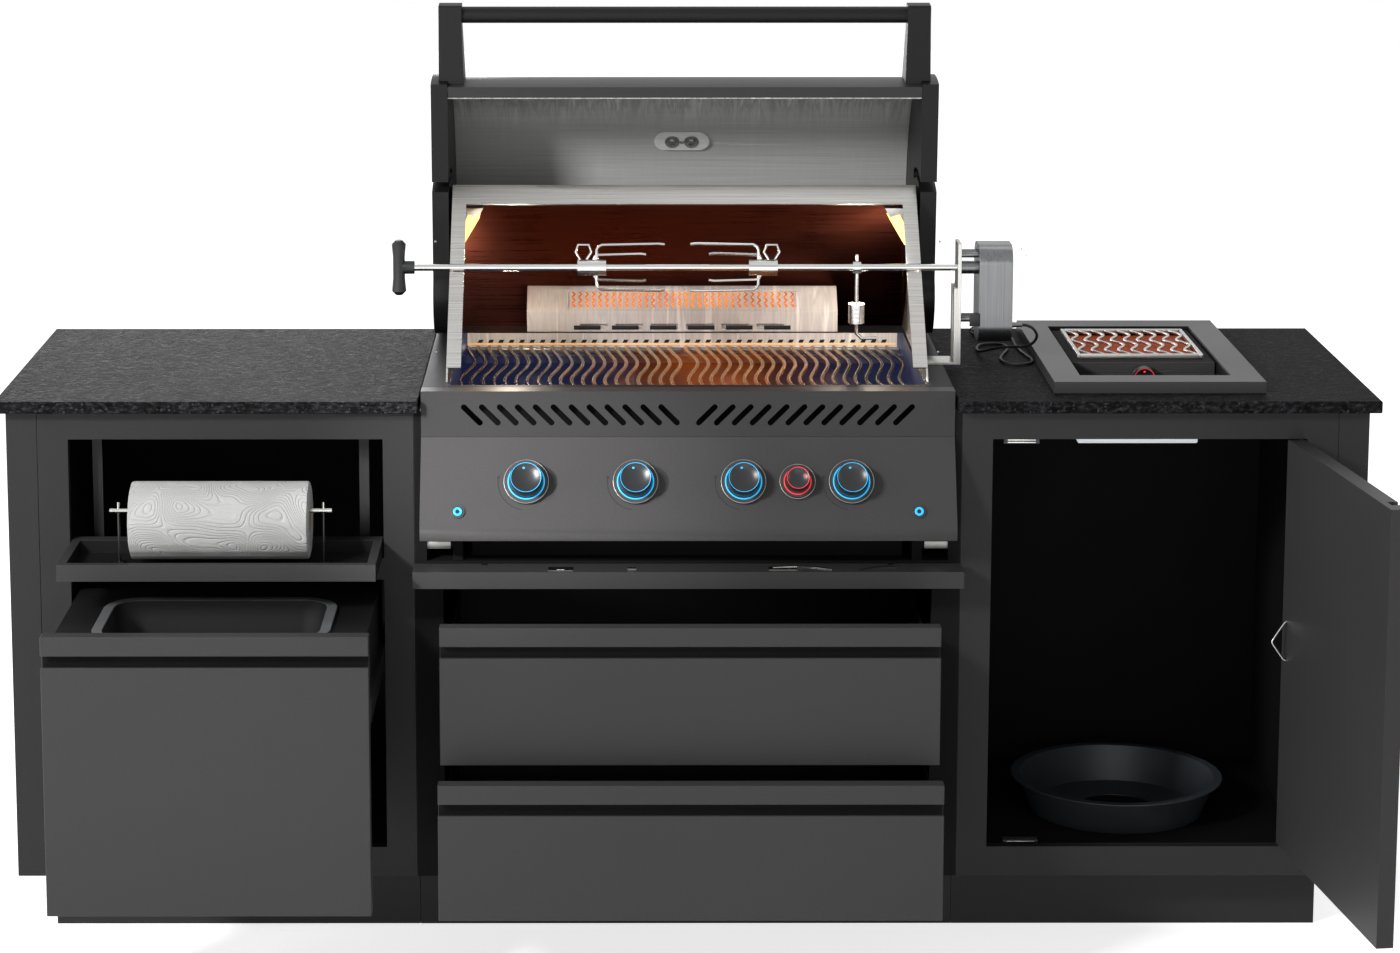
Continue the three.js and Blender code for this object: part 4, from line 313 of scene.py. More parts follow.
def glowing(tree, colour, strength):
    """A lit surface of one colour, such as a ring light or a lamp's glass."""
    return surface(tree, {
        "Base Color": rgba(colour), "Roughness": 0.4, "Emission Color": rgba(colour), "Emission Strength": strength,
    })


def ember(tree, colour, half_width, strength):
    """The glow of the rear burner's openings, in patches and weaker towards both ends."""
    pattern = object_pattern(tree)
    far = maths(tree, "ABSOLUTE", part_of(tree, pattern, "X"))
    near = spread(tree, far, half_width, half_width * 0.15, interpolation_type="SMOOTHSTEP")
    flicker = maths(tree, "MULTIPLY", near, noise(tree, pattern, 24, 2))
    hot = ramp(tree, flicker, [(0.0, BLACK), (0.3, shade(colour, 0.5)), (0.62, colour), (1.0, (1, 0.42, 0.06))])
    return surface(tree, {
        "Base Color": (0.02, 0.01, 0.008, 1), "Roughness": 0.7, "Specular IOR Level": 0.0,
        "Emission Color": hot, "Emission Strength": strength,
    })


def moulded_plastic(tree, colour, roughness):
    """Moulded plastic with a spark-eroded grain 1.5 mm across."""
    pattern = object_pattern(tree)
    return surface(tree, {
        "Base Color": shades(tree, noise(tree, pattern, 12, 2), colour, (0.3, 0.9), (0.7, 1.1)),
        "Roughness": roughness, "IOR": 1.49, "Normal": bumped(tree, noise(tree, pattern, 650, 2), 0.12, 0.0004),
    })


def embossed_paper(tree, colour):
    """Kitchen paper: swirling lines pressed into soft white tissue."""
    pattern = object_pattern(tree)
    swirl = maths(tree, "PINGPONG", maths(tree, "MULTIPLY", noise(tree, pattern, 15, 0), 30), 0.5)
    pressed = ramp(tree, swirl, [(0.0, BLACK), (0.22, WHITE)])
    return surface(tree, {
        "Base Color": shades(tree, noise(tree, pattern, 500, 2), colour, (0.2, 0.94), (0.8, 1.03)),
        "Roughness": 0.93, "Normal": bumped(tree, pressed, 0.6, 0.002),
        "Sheen Weight": 0.15, "Sheen Roughness": 0.6,
    })


def perforated_ceramic(tree, colour, strength):
    """Red-hot ceramic tile pierced by rows of small holes 4 mm apart, hotter in patches."""
    pattern = object_pattern(tree)
    holes = add(tree, "ShaderNodeTexVoronoi", {"Vector": pattern, "Scale": 250, "Randomness": 0.15})
    rim = ramp(tree, holes.outputs["Distance"], [(0.16, shade(colour, 0.35)), (0.34, colour), (0.7, (1, 0.5, 0.16))])
    return surface(tree, {
        "Base Color": shade(colour, 0.3), "Roughness": 0.8, "Emission Strength": strength,
        "Emission Color": mixed(tree, noise(tree, pattern, 22, 2), shade(colour, 0.45), rim),
    })


def cord_jacket(tree, colour):
    """Black rubber jacket of the cord, with a dull sheen."""
    return surface(tree, {"Base Color": rgba(colour), "Roughness": 0.55, "IOR": 1.5})


def recipes():
    """Each finish as the function that builds it, with its colour and gloss."""
    colours = bpy.context.scene.island_colours
    coat, steel = colours.powder_coat, colours.stainless
    return {
        "powder_coat": (powder_coat, coat, 0.4),
        # Copies of the powder coat with painted light and shade: darker for the carcasses and the lid's end caps,
        # lighter for the control panel, the side burner's body and its frame
        "carcass_coat": (powder_coat, shade(coat, 0.55), 0.42),
        # Painted shade: a tenth of the dark coat, near-black, for the insides of bays, grooves and wells
        "bay_black": (powder_coat, shade(colours.dark_coat, 0.1), 0.8),
        "dark_coat": (powder_coat, colours.dark_coat, 0.5),
        "panel_coat": (powder_coat, shade(coat, 1.45), 0.36),
        "cast_coat": (powder_coat, shade(coat, 0.18), 0.4),
        "frame_coat": (powder_coat, shade(coat, 1.15), 0.34),
        "liner_steel": (reflection_streaked_steel, linear("#cfcfce"), 1.27, 0.5),
        "gauge_steel": (reflection_streaked_steel, linear("#ffffff"), 2.0, 0.5),
        "burner_steel": (reflection_streaked_steel, linear("#c6c0be"), 0.55, 0.16),
        "sooty_steel": (brushed_steel, linear("#4a251c"), "X", 0.3),
        "chrome": (brushed_steel, linear("#d8d8d6"), "X", 0.16),
        "motor_cast": (brushed_steel, linear("#7e7f80"), "Z", 0.34),
        "steel_x": (brushed_steel, steel, "X", 0.3),
        "steel_z": (brushed_steel, steel, "Z", 0.3),
        "steel_dull": (brushed_steel, shade(steel, 0.55), "X", 0.4),
        "steel_dark": (brushed_steel, shade(steel, 0.12), "Z", 0.35),
        "bright_wire": (brushed_steel, shade(steel, 1.1), "Y", 0.2),
        "hot_rods": (firelit_steel, steel),
        "flame_plates": (flame_lit, colours.heat),
        "stone": (leathered_stone, colours.stone, colours.stone_fleck),
        # Painted shade and highlight for the waste bin
        "bin_inside": (moulded_plastic, linear("#0b0b0c"), 0.6),
        "bin_rim": (moulded_plastic, linear("#6a6c6e"), 0.35),
        "knob_black": (moulded_plastic, linear("#1d1e20"), 0.32),
        "black_plastic": (moulded_plastic, linear("#1b1c1d"), 0.5),
        "grey_plastic": (moulded_plastic, linear("#4b5056"), 0.45),
        "white_mark": (moulded_plastic, linear("#d8dadc"), 0.4),
        "mark_grey": (moulded_plastic, linear("#1d1e1f"), 0.5),
        "card_core": (moulded_plastic, linear("#a98f6c"), 0.9),
        "paper": (embossed_paper, colours.paper),
        "cord": (cord_jacket, linear("#141416")),
        "knob_light": (glowing, colours.knob_light, 0.85),
        "rear_light": (glowing, colours.rear_light, 0.85),
        "lamp_glass": (glowing, linear("#ffce78"), 2.2),
        "led_cover": (glowing, linear("#c8cccf"), 0.7),
        # Painted light and shade: a line of the flames' light on the rail, and near-black for holes and slots
        "rail_glow": (glowing, linear("#e0a050"), 0.8),
        "hole_black": (glowing, linear("#010101"), 0.1),
        "screen_glow": (ember, linear("#ff7d14"), 0.5, 1.5),
        "hot_ceramic": (perforated_ceramic, linear("#d8480f"), 0.26),
    }


FINISHES = {}


def finish(name):
    """A finish by its name, made once and then shared."""
    # Some of the loaded nodes' own materials have the same names, so they aren't looked up by name
    if name not in FINISHES:
        build, *values = recipes()[name]
        material = bpy.data.materials.new(name)
        material.use_nodes = True
        tree = material.node_tree
        tree.nodes.clear()
        add(tree, "ShaderNodeOutputMaterial", {"Surface": build(tree, *values)})
        FINISHES[name] = material
    return FINISHES[name]


# Objects and meshes

def object_from(name, data):
    made = bpy.data.objects.new(name, data)
    bpy.context.scene.collection.objects.link(made)
    return made


def object_from_bmesh(name, bm):
    mesh = bpy.data.meshes.new(name)
    bm.to_mesh(mesh)
    bm.free()
    return object_from(name, mesh)


def smoothed(made, degrees=35):
    """Smooth shading that keeps every fold sharper than the angle."""
    mesh = made.data
    mesh.polygons.foreach_set("use_smooth", [True] * len(mesh.polygons))
    mesh.set_sharp_from_angle(angle=math.radians(degrees))
    return made


def evaluated_mesh(made):
    bpy.context.view_layer.update()
    return bpy.data.meshes.new_from_object(made.evaluated_get(bpy.context.evaluated_depsgraph_get()))


def settled(made):
    """Turns an object's modifiers into its plain mesh."""
    mesh = evaluated_mesh(made)
    mesh.name = made.name
    made.modifiers.clear()
    made.data = mesh
    return made


def bevelled(made, width, segments, **settings):
    """Rolls an object's edges."""
    bevel = made.modifiers.new("edges", "BEVEL")
    bevel.width, bevel.segments = width, segments
    for key, value in settings.items():
        setattr(bevel, key, value)
    return settled(made)


def dressed(made, body, look, degrees=35):
    """Gives a piece its finish and its body, with smooth shading."""
    if look:
        made.data.materials.clear()
        made.data.materials.append(finish(look))
    smoothed(made, degrees)
    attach(made, body)
    return made


def fitting(name, bm, body, look, degrees=35, edge=0, segments=2):
    """A piece that scene.py alone makes, with rolled edges where a width is given."""
    made = object_from_bmesh(name, bm)
    if edge:
        bevelled(made, edge, segments)
    return dressed(made, body, look, degrees)


def refined(node, look, edge=0.0012, segments=2, degrees=35):
    """A copy of a CAD node with merged corners, rolled edges and smooth curves, in the node's own place."""
    source = NODES[node]
    bm = bmesh.new()
    bm.from_mesh(source.data)
    bmesh.ops.remove_doubles(bm, verts=bm.verts, dist=0.00002)
    bmesh.ops.dissolve_limit(
        bm, angle_limit=math.radians(0.4), verts=bm.verts, edges=bm.edges, use_dissolve_boundaries=False,
    )
    made = object_from_bmesh(node + "_finished", bm)
    bevelled(
        made, edge, segments, limit_method="ANGLE", angle_limit=math.radians(45), miter_outer="MITER_SHARP",
    )
    smoothed(made, degrees)
    even = made.modifiers.new("even", "WEIGHTED_NORMAL")
    even.weight = 100
    even.keep_sharp = True
    settled(made)
    dressed(made, source["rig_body"], look, degrees)
    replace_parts(made, node)
    return made


def painted(made, look, chosen):
    """Gives another finish to the faces that a test of their middle and normal picks."""
    made.data.materials.append(finish(look))
    slot = len(made.data.materials) - 1
    for face in made.data.polygons:
        if chosen(face.center, face.normal):
            face.material_index = slot


def joint_named(name):
    return next(joint for joint in frame["joints"] if joint["name"] == name)


def seat_on(origin, axis):
    """The matrix that carries a shape drawn on +Z to an axis, with its X kept."""
    up = Vector(axis).normalized()
    side = Vector((1, 0, 0))
    side = (side - up * side.dot(up)).normalized() if abs(up.x) < 0.9 else Vector((0, 1, 0))
    matrix = Matrix((side, up.cross(side), up)).transposed().to_4x4()
    matrix.translation = Vector(origin)
    return matrix


# Geometry Nodes trees

def new_tree(name, inputs):
    """A geometry tree with named inputs: (name, socket type, default)."""
    tree = bpy.data.node_groups.new(name, "GeometryNodeTree")
    tree.interface.new_socket("Geometry", in_out="INPUT", socket_type="NodeSocketGeometry")
    for label, kind, default in inputs:
        socket = tree.interface.new_socket(label, in_out="INPUT", socket_type="NodeSocket" + kind)
        if default is not None:
            socket.default_value = default
    tree.interface.new_socket("Geometry", in_out="OUTPUT", socket_type="NodeSocketGeometry")
    return tree, tree.nodes.new("NodeGroupInput").outputs, tree.nodes.new("NodeGroupOutput")


def close_tree(tree, end, geometry, material):
    real = add(tree, "GeometryNodeRealizeInstances", {"Geometry": geometry})
    coloured = add(tree, "GeometryNodeSetMaterial", {"Geometry": real.outputs[0], "Material": material})
    tree.links.new(coloured.outputs[0], end.inputs[0])
    return tree


def grown(name, tree, values, mesh=None):
    """Runs a geometry tree on a mesh and returns the result as a plain object."""
    made = object_from(name, mesh or bpy.data.meshes.new(name))
    modifier = made.modifiers.new("grown", "NODES")
    modifier.node_group = tree
    sockets = {item.name: item.identifier for item in tree.interface.items_tree if item.in_out == "INPUT"}
    for label, value in values.items():
        modifier[sockets[label]] = value
    return settled(made)


def wave_rod_tree():
    """Parallel rods that swing from side to side along Y: a cooking grid's rods."""
    tree, given, end = new_tree("wave_rods", [
        ("Count", "Int", 20), ("Pitch", "Float", 0.02), ("Length", "Float", 0.45), ("Swing", "Float", 0.009),
        ("Half Waves", "Float", 3.0), ("Thickness", "Float", 0.0072), ("Corner", "Vector", (0, 0, 0)),
        ("Material", "Material", None),
    ])
    tip = add(tree, "ShaderNodeCombineXYZ", {"Y": given["Length"]})
    line = add(tree, "GeometryNodeCurvePrimitiveLine", {"End": tip.outputs[0]})
    fine = add(tree, "GeometryNodeResampleCurve", {"Curve": line.outputs[0], "Count": 49}, mode="COUNT")
    along = add(tree, "GeometryNodeSplineParameter").outputs["Factor"]
    phase = maths(tree, "MULTIPLY", maths(tree, "MULTIPLY", along, given["Half Waves"]), math.pi)
    size = maths(tree, "MULTIPLY", maths(tree, "COSINE", phase), given["Swing"])
    shift = add(tree, "ShaderNodeCombineXYZ", {"X": size})
    waved = add(tree, "GeometryNodeSetPosition", {"Geometry": fine.outputs[0], "Offset": shift.outputs[0]})
    section = add(tree, "GeometryNodeCurvePrimitiveCircle", {
        "Resolution": 8, "Radius": maths(tree, "MULTIPLY", given["Thickness"], 0.5),
    })
    tube = add(tree, "GeometryNodeCurveToMesh", {
        "Curve": waved.outputs[0], "Profile Curve": section.outputs[0], "Fill Caps": True,
    })
    step = add(tree, "ShaderNodeCombineXYZ", {"X": given["Pitch"]})
    row = add(tree, "GeometryNodeMeshLine", {
        "Count": given["Count"], "Start Location": given["Corner"], "Offset": step.outputs[0],
    })
    placed = add(tree, "GeometryNodeInstanceOnPoints", {"Points": row.outputs[0], "Instance": tube.outputs[0]})
    return close_tree(tree, end, placed.outputs[0], given["Material"])


def scatter_tree():
    """A small shape set on every point of the mesh, all turned alike: screws, slots and chevrons."""
    tree, given, end = new_tree("set_on_points", [
        ("Shape", "Object", None), ("Turn", "Vector", (0, 0, 0)), ("Material", "Material", None),
    ])
    shape = add(tree, "GeometryNodeObjectInfo", {"Object": given["Shape"]})
    placed = add(tree, "GeometryNodeInstanceOnPoints", {
        "Points": given["Geometry"], "Instance": shape.outputs["Geometry"], "Rotation": given["Turn"],
    })
    return close_tree(tree, end, placed.outputs[0], given["Material"])


def set_on_points(name, shape, points, turn, look):
    """Copies a shape to every point, as one piece of the island."""
    tree = bpy.data.node_groups.get("set_on_points") or scatter_tree()
    mesh = bpy.data.meshes.new(name)
    mesh.from_pydata([tuple(point) for point in points], [], [])
    made = grown(name, tree, {"Shape": shape, "Turn": turn, "Material": finish(look)}, mesh)
    bpy.data.objects.remove(shape)
    return dressed(made, "island", None, 40)


# Shapes that several pieces share

def turned_mesh(profile, steps=32):
    """A solid turned round Z from (radius, height) points, closed at its ends."""
    bm = bmesh.new()
    rings = []
    for radius, height in profile:
        if radius < 1e-6:
            rings.append([bm.verts.new((0, 0, height))])
        else:
            angles = [math.tau * i / steps for i in range(steps)]
            rings.append([bm.verts.new((radius * math.cos(a), radius * math.sin(a), height)) for a in angles])
    for low, high in zip(rings, rings[1:]):
        for i in range(steps):
            corners = []
            for ring, place_in_ring in ((low, i), (low, i + 1), (high, i + 1), (high, i)):
                corner = ring[place_in_ring % len(ring)]
                if corner not in corners:
                    corners.append(corner)
            if len(corners) > 2:
                bm.faces.new(corners)
    bmesh.ops.remove_doubles(bm, verts=bm.verts, dist=1e-6)
    bmesh.ops.recalc_face_normals(bm, faces=bm.faces)
    return bm


def moved(bm, matrix):
    bmesh.ops.transform(bm, matrix=matrix, verts=bm.verts)
    return bm


def joined(target, source):
    """Adds one bmesh to another."""
    spare = bpy.data.meshes.new("spare")
    source.to_mesh(spare)
    source.free()
    target.from_mesh(spare)
    bpy.data.meshes.remove(spare)


def blocks(*boxes):
    """A mesh of boxes, each between two corners."""
    bm = bmesh.new()
    for low, high in boxes:
        for vert in bmesh.ops.create_cube(bm, size=1)["verts"]:
            vert.co = Vector([(low[i] + high[i]) / 2 + vert.co[i] * (high[i] - low[i]) for i in range(3)])
    return bm


def lofted(bm, rings):
    """Joins each ring of vertices to the next one by a band of faces."""
    for first, second in zip(rings, rings[1:]):
        for i in range(len(first)):
            j = (i + 1) % len(first)
            bm.faces.new((first[i], first[j], second[j], second[i]))


def bar_through(bm, rings):
    """Adds a solid bar through rings of points, closed at both ends."""
    rings = [[bm.verts.new(point) for point in ring] for ring in rings]
    lofted(bm, rings)
    bm.faces.new(rings[0][::-1])
    bm.faces.new(rings[-1])
    bmesh.ops.recalc_face_normals(bm, faces=bm.faces)
    return bm


def tube_along(name, points, radius, resolution=3):
    """A round wire or tube along a smooth line, as a mesh with closed ends."""
    curve = bpy.data.curves.new(name, "CURVE")
    curve.dimensions = "3D"
    curve.bevel_depth = radius
    curve.bevel_resolution = resolution
    curve.use_fill_caps = True
    spline = curve.splines.new("POLY")
    spline.points.add(len(points) - 1)
    for target, point in zip(spline.points, points):
        target.co = (*point, 1)
    made = object_from(name, curve)
    mesh = evaluated_mesh(made)
    bpy.data.objects.remove(made)
    return object_from(name, mesh)


def screw_row(name, points, turn, scale):
    """Domed screw heads with a socket, on stated points."""
    r = bpy.context.scene.island_sizes.screw_head / 2 * scale
    profile = [
        (0, -0.1), (1, -0.1), (1, 0.12), (0.82, 0.42), (0.5, 0.56), (0.44, 0.5), (0.4, 0.14), (0, 0.14),
    ]
    shape = object_from_bmesh("screw_shape", turned_mesh([(r * out, r * up) for out, up in profile], 18))
    set_on_points(name, smoothed(shape, 40), points, turn, "steel_dull")


# Stage

class ISLAND_OT_stage(bpy.types.Operator):
    """Sets up the camera, the soft lights and the pale floor"""
    bl_idname = "island.stage"
    bl_label = "Camera, lights and floor"

    def execute(self, context):
        scene = context.scene
        scene.view_settings.view_transform = "Standard"
        camera = object_from("camera", bpy.data.cameras.new("camera"))
        camera.location = (-0.1128, -6.0278, 2.065)
        camera.rotation_euler = (math.radians(90 - 9.326), 0, math.radians(-0.123))
        camera.data.sensor_width = 36
        camera.data.lens = 36 * 3587.1 / 1400
        camera.data.shift_x = 0.053
        camera.data.shift_y = -0.15
        camera.data.clip_end = 60
        scene.camera = camera
        for name, position, target, size, power in (
            ("key", (-2.6, -3.2, 2.7), (0, -0.3, 0.6), (0.7, 0.6), 150),
            ("fill_left", (-4.2, -1.8, 1.9), (0, -0.2, 0.6), (1.2, 2.6), 42),
            ("fill_right", (4.2, -2.2, 2.0), (0, -0.2, 0.6), (1.2, 2.6), 22),
            ("stone_glance", (-1.15, 2.7, 1.43), (-0.75, 0, 0.92), (1.5, 0.5), 20),
            ("front", (0.2, -5.2, 1.2), (0, -0.3, 0.6), (3.2, 1.2), 20),
            ("top", (0, 0.9, 3.4), (0, 0.1, 0.9), (3.0, 1.0), 12),
        ):
            self.light("AREA", name, position, target, power, shape="RECTANGLE", size=size[0], size_y=size[1])
        # A narrow light from the left throws the knobs' shadows to the right
        self.light("SPOT", "panel_spot", (-1.35, -1.75, 1.45), (-0.3, -0.39, 0.78), 170,
                   spot_size=math.radians(20), spot_blend=1.0, shadow_soft_size=0.03)
        # The warm light that the hood's own lamps throw on the grids
        for x in (-0.3, 0.3):
            self.light("POINT", "hood_lamp", (x, 0.06, 1.06), None, 1.5, color=(1, 0.87, 0.7), shadow_soft_size=0.02)
        self.floor()
        self.sky(scene)
        return {"FINISHED"}

    def light(self, kind, name, position, target, power, **settings):
        made = object_from(name, bpy.data.lights.new(name, kind))
        made.data.energy = power
        for key, value in settings.items():
            setattr(made.data, key, value)
        made.location = position
        if target:
            made.rotation_euler = (Vector(target) - Vector(position)).to_track_quat("-Z", "Y").to_euler()

    def floor(self):
        """A pale floor that the camera and the reflections see brighter further out."""
        bm = bmesh.new()
        bmesh.ops.create_grid(bm, x_segments=1, y_segments=1, size=14)
        floor = object_from_bmesh("floor", bm)
        material = bpy.data.materials.new("pale_floor")
        material.use_nodes = True
        tree = material.node_tree
        tree.nodes.clear()
        rays = add(tree, "ShaderNodeLightPath").outputs
        seen = maths(tree, "MAXIMUM", rays["Is Camera Ray"], rays["Is Glossy Ray"], use_clamp=True)
        dull = add(tree, "ShaderNodeBsdfDiffuse", {"Color": rgba(linear("#e8e8e8"))})
        reach = add(tree, "ShaderNodeVectorMath", {0: object_pattern(tree)}, operation="LENGTH").outputs["Value"]
        fade = spread(tree, reach, 1.0, 2.4, 0.76, 1.1)
        lit = add(tree, "ShaderNodeEmission", {"Color": rgba(WHITE), "Strength": fade})
        both = add(tree, "ShaderNodeAddShader", {0: dull.outputs[0], 1: lit.outputs[0]})
        chosen = add(tree, "ShaderNodeMixShader", {0: seen, 1: dull.outputs[0], 2: both.outputs[0]})
        add(tree, "ShaderNodeOutputMaterial", {"Surface": chosen.outputs[0]})
        floor.data.materials.append(material)

    def sky(self, scene):
        """A white sky: dim as a light, brighter in reflections, plain white behind the island."""
        scene.world = scene.world or bpy.data.worlds.new("studio")
        scene.world.use_nodes = True
        tree = scene.world.node_tree
        tree.nodes.clear()
        rays = add(tree, "ShaderNodeLightPath").outputs
        seen = maths(tree, "MAXIMUM", rays["Is Camera Ray"], rays["Is Transmission Ray"], use_clamp=True)
        soft = add(tree, "ShaderNodeMix", {"Factor": rays["Is Glossy Ray"], "A": 0.14, "B": 0.85}, data_type="FLOAT")
        strength = add(tree, "ShaderNodeMix", {"Factor": seen, "A": soft.outputs[0], "B": 1.0}, data_type="FLOAT")
        light = add(tree, "ShaderNodeBackground", {"Color": rgba(WHITE), "Strength": strength.outputs[0]})
        add(tree, "ShaderNodeOutputWorld", {"Surface": light.outputs[0]})


# The motor's cord: 1.59 m of 5 mm lead, a loop and a lazy bend on the stone, the rest coiled behind the motor

CORD_ROUTE = [
    (567.3, 250, 990), (575, 250.5, 989), (586, 253, 983), (593, 258, 970), (588, 265, 957), (575, 274, 949),
    (558, 286, 946), (540, 302, 942), (525, 324, 935), (515, 350, 927), (509, 380, 920.5), (508, 410, 917.2),
    (511, 440, 916.8), (521, 464, 916.8), (539, 473, 916.8), (556, 464, 916.8), (563, 442, 916.8), (560, 412, 916.8),
    (551, 380, 916.8), (543, 348, 916.8), (540, 318, 916.8), (546, 292, 916.8), (566, 280, 916.8), (586, 291, 916.8),
    (593, 318, 916.8), (590, 350, 916.8), (584, 390, 916.8), (580, 430, 916.8), (579, 470, 916.8), (580, 510, 916.8),
    (579, 545, 916.8), (579, 579.7, 916.8),
]
COIL = {"x": 547, "depth": 580, "outer": 32, "pitch": 5.8, "layer": 5.6, "layers": 2, "turns": 2, "climb": 0.25}
COIL_TAIL = {"radius": 21, "turn": 0.5, "rise": 10.3}
CORD_REST = 916.8


def eased(points, steps):
    """Centripetal Catmull-Rom points through the given ones, as the CAD cord has."""
    extended = [points[0] * 2 - points[1], *points, points[-1] * 2 - points[-2]]

    def between(a, b, start, end, t):
        return a * ((end - t) / (end - start)) + b * ((t - start) / (end - start))

    result = []
    for p0, p1, p2, p3 in zip(extended, extended[1:], extended[2:], extended[3:]):
        knots = [0.0]
        for a, b in ((p0, p1), (p1, p2), (p2, p3)):
            knots.append(knots[-1] + max((b - a).length, 1e-9) ** 0.5)
        t0, t1, t2, t3 = knots
        for i in range(steps):
            t = t1 + (t2 - t1) * i / steps
            a1, a2, a3 = between(p0, p1, t0, t1, t), between(p1, p2, t1, t2, t), between(p2, p3, t2, t3, t)
            b1, b2 = between(a1, a2, t0, t2, t), between(a2, a3, t1, t3, t)
            result.append(between(b1, b2, t1, t2, t))
    return [*result, points[-1].copy()]


def coil_point(turns):
    """A point on the coil after so many turns: inwards on the stone, then outwards on top, then the tail."""
    angle = turns * math.tau
    wound = COIL["layers"] * COIL["turns"]
    if turns > wound:
        over = COIL_TAIL["rise"] - COIL["layer"]
        return place(
            COIL["x"] + COIL["outer"] - COIL_TAIL["radius"] * (1 - math.cos(angle)),
            COIL["depth"] + COIL_TAIL["radius"] * math.sin(angle),
            CORD_REST + COIL["layers"] * COIL["layer"] + over * min(1, (turns - wound) / COIL["climb"] / 2),
        )
    layer = min(int(turns // COIL["turns"]), COIL["layers"] - 1)
    within = turns - layer * COIL["turns"]
    whole = min(int(within), COIL["turns"] - 1)
    stepped = whole + min(1, (within - whole) * 2)
    radius = COIL["outer"] - COIL["pitch"] * (within if layer % 2 == 0 else COIL["turns"] - stepped)
    share = max(0, min(1, (within - (COIL["turns"] - COIL["climb"])) / COIL["climb"]))
    climb = share * share * (3 - 2 * share)
    return place(
        COIL["x"] + radius * math.cos(angle), COIL["depth"] + radius * math.sin(angle),
        CORD_REST + (layer + climb) * COIL["layer"],
    )


class ISLAND_OT_cord(bpy.types.Operator):
    """Lays the rotisserie motor's cord, its coil, the tie round the coil and the plug"""
    bl_idname = "island.cord"
    bl_label = "Motor cord"

    def execute(self, context):
        diameter = context.scene.island_sizes.cord_diameter
        route = eased([place(*point) for point in CORD_ROUTE], 5)
        turns = COIL["layers"] * COIL["turns"] + COIL_TAIL["turn"]
        coil_steps = 130
        line = route + [coil_point(turns * i / coil_steps) for i in range(1, coil_steps + 1)]
        cord = dressed(tube_along("power_cord", line, diameter / 2, 2), "island", "cord", 60)
        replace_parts(cord, "motor_cord", "cord_coil")
        plug = refined("motor_plug", "black_plastic", 0.0008)
        tie = self.tie()
        return {"FINISHED"}

    def tie(self):
        """A twisted wire tie: a small band round the coil's four strands on its left side."""
        middle = place(COIL["x"] - COIL["outer"] + COIL["pitch"], COIL["depth"], CORD_REST + COIL["layer"] / 2)
        angles = [math.tau * i / 32 for i in range(33)]
        points = [middle + Vector((0.0102 * math.cos(a), 0, 0.0066 * math.sin(a))) for a in angles]
        return dressed(tube_along("coil_tie", points, 0.0008, 2), "island", "black_plastic", 60)


# Cabinets

class ISLAND_OT_cabinets(bpy.types.Operator):
    """Finishes the three cabinet modules, the end panels and the stone worktops"""
    bl_idname = "island.cabinets"
    bl_label = "Cabinets and worktops"

    def execute(self, context):
        edge = context.scene.island_sizes.edge_radius
        rim = 0.004
        for node in ("left_carcass", "centre_carcass", "right_carcass"):
            low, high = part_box(node)
            # The carcasses' insides are painted near-black as shade
            painted(refined(node, "carcass_coat", edge), "bay_black", lambda c, n: (
                low.x + rim < c.x < high.x - rim and low.y + 0.012 < c.y < high.y - rim
                and low.z + 0.11 < c.z < high.z - rim
            ))
        for node in ("left_end_panel", "right_end_panel"):
            refined(node, "carcass_coat", edge)
        for node in ("left_worktop", "right_worktop"):
            refined(node, "stone", 0.0022, 3)
        return {"FINISHED"}


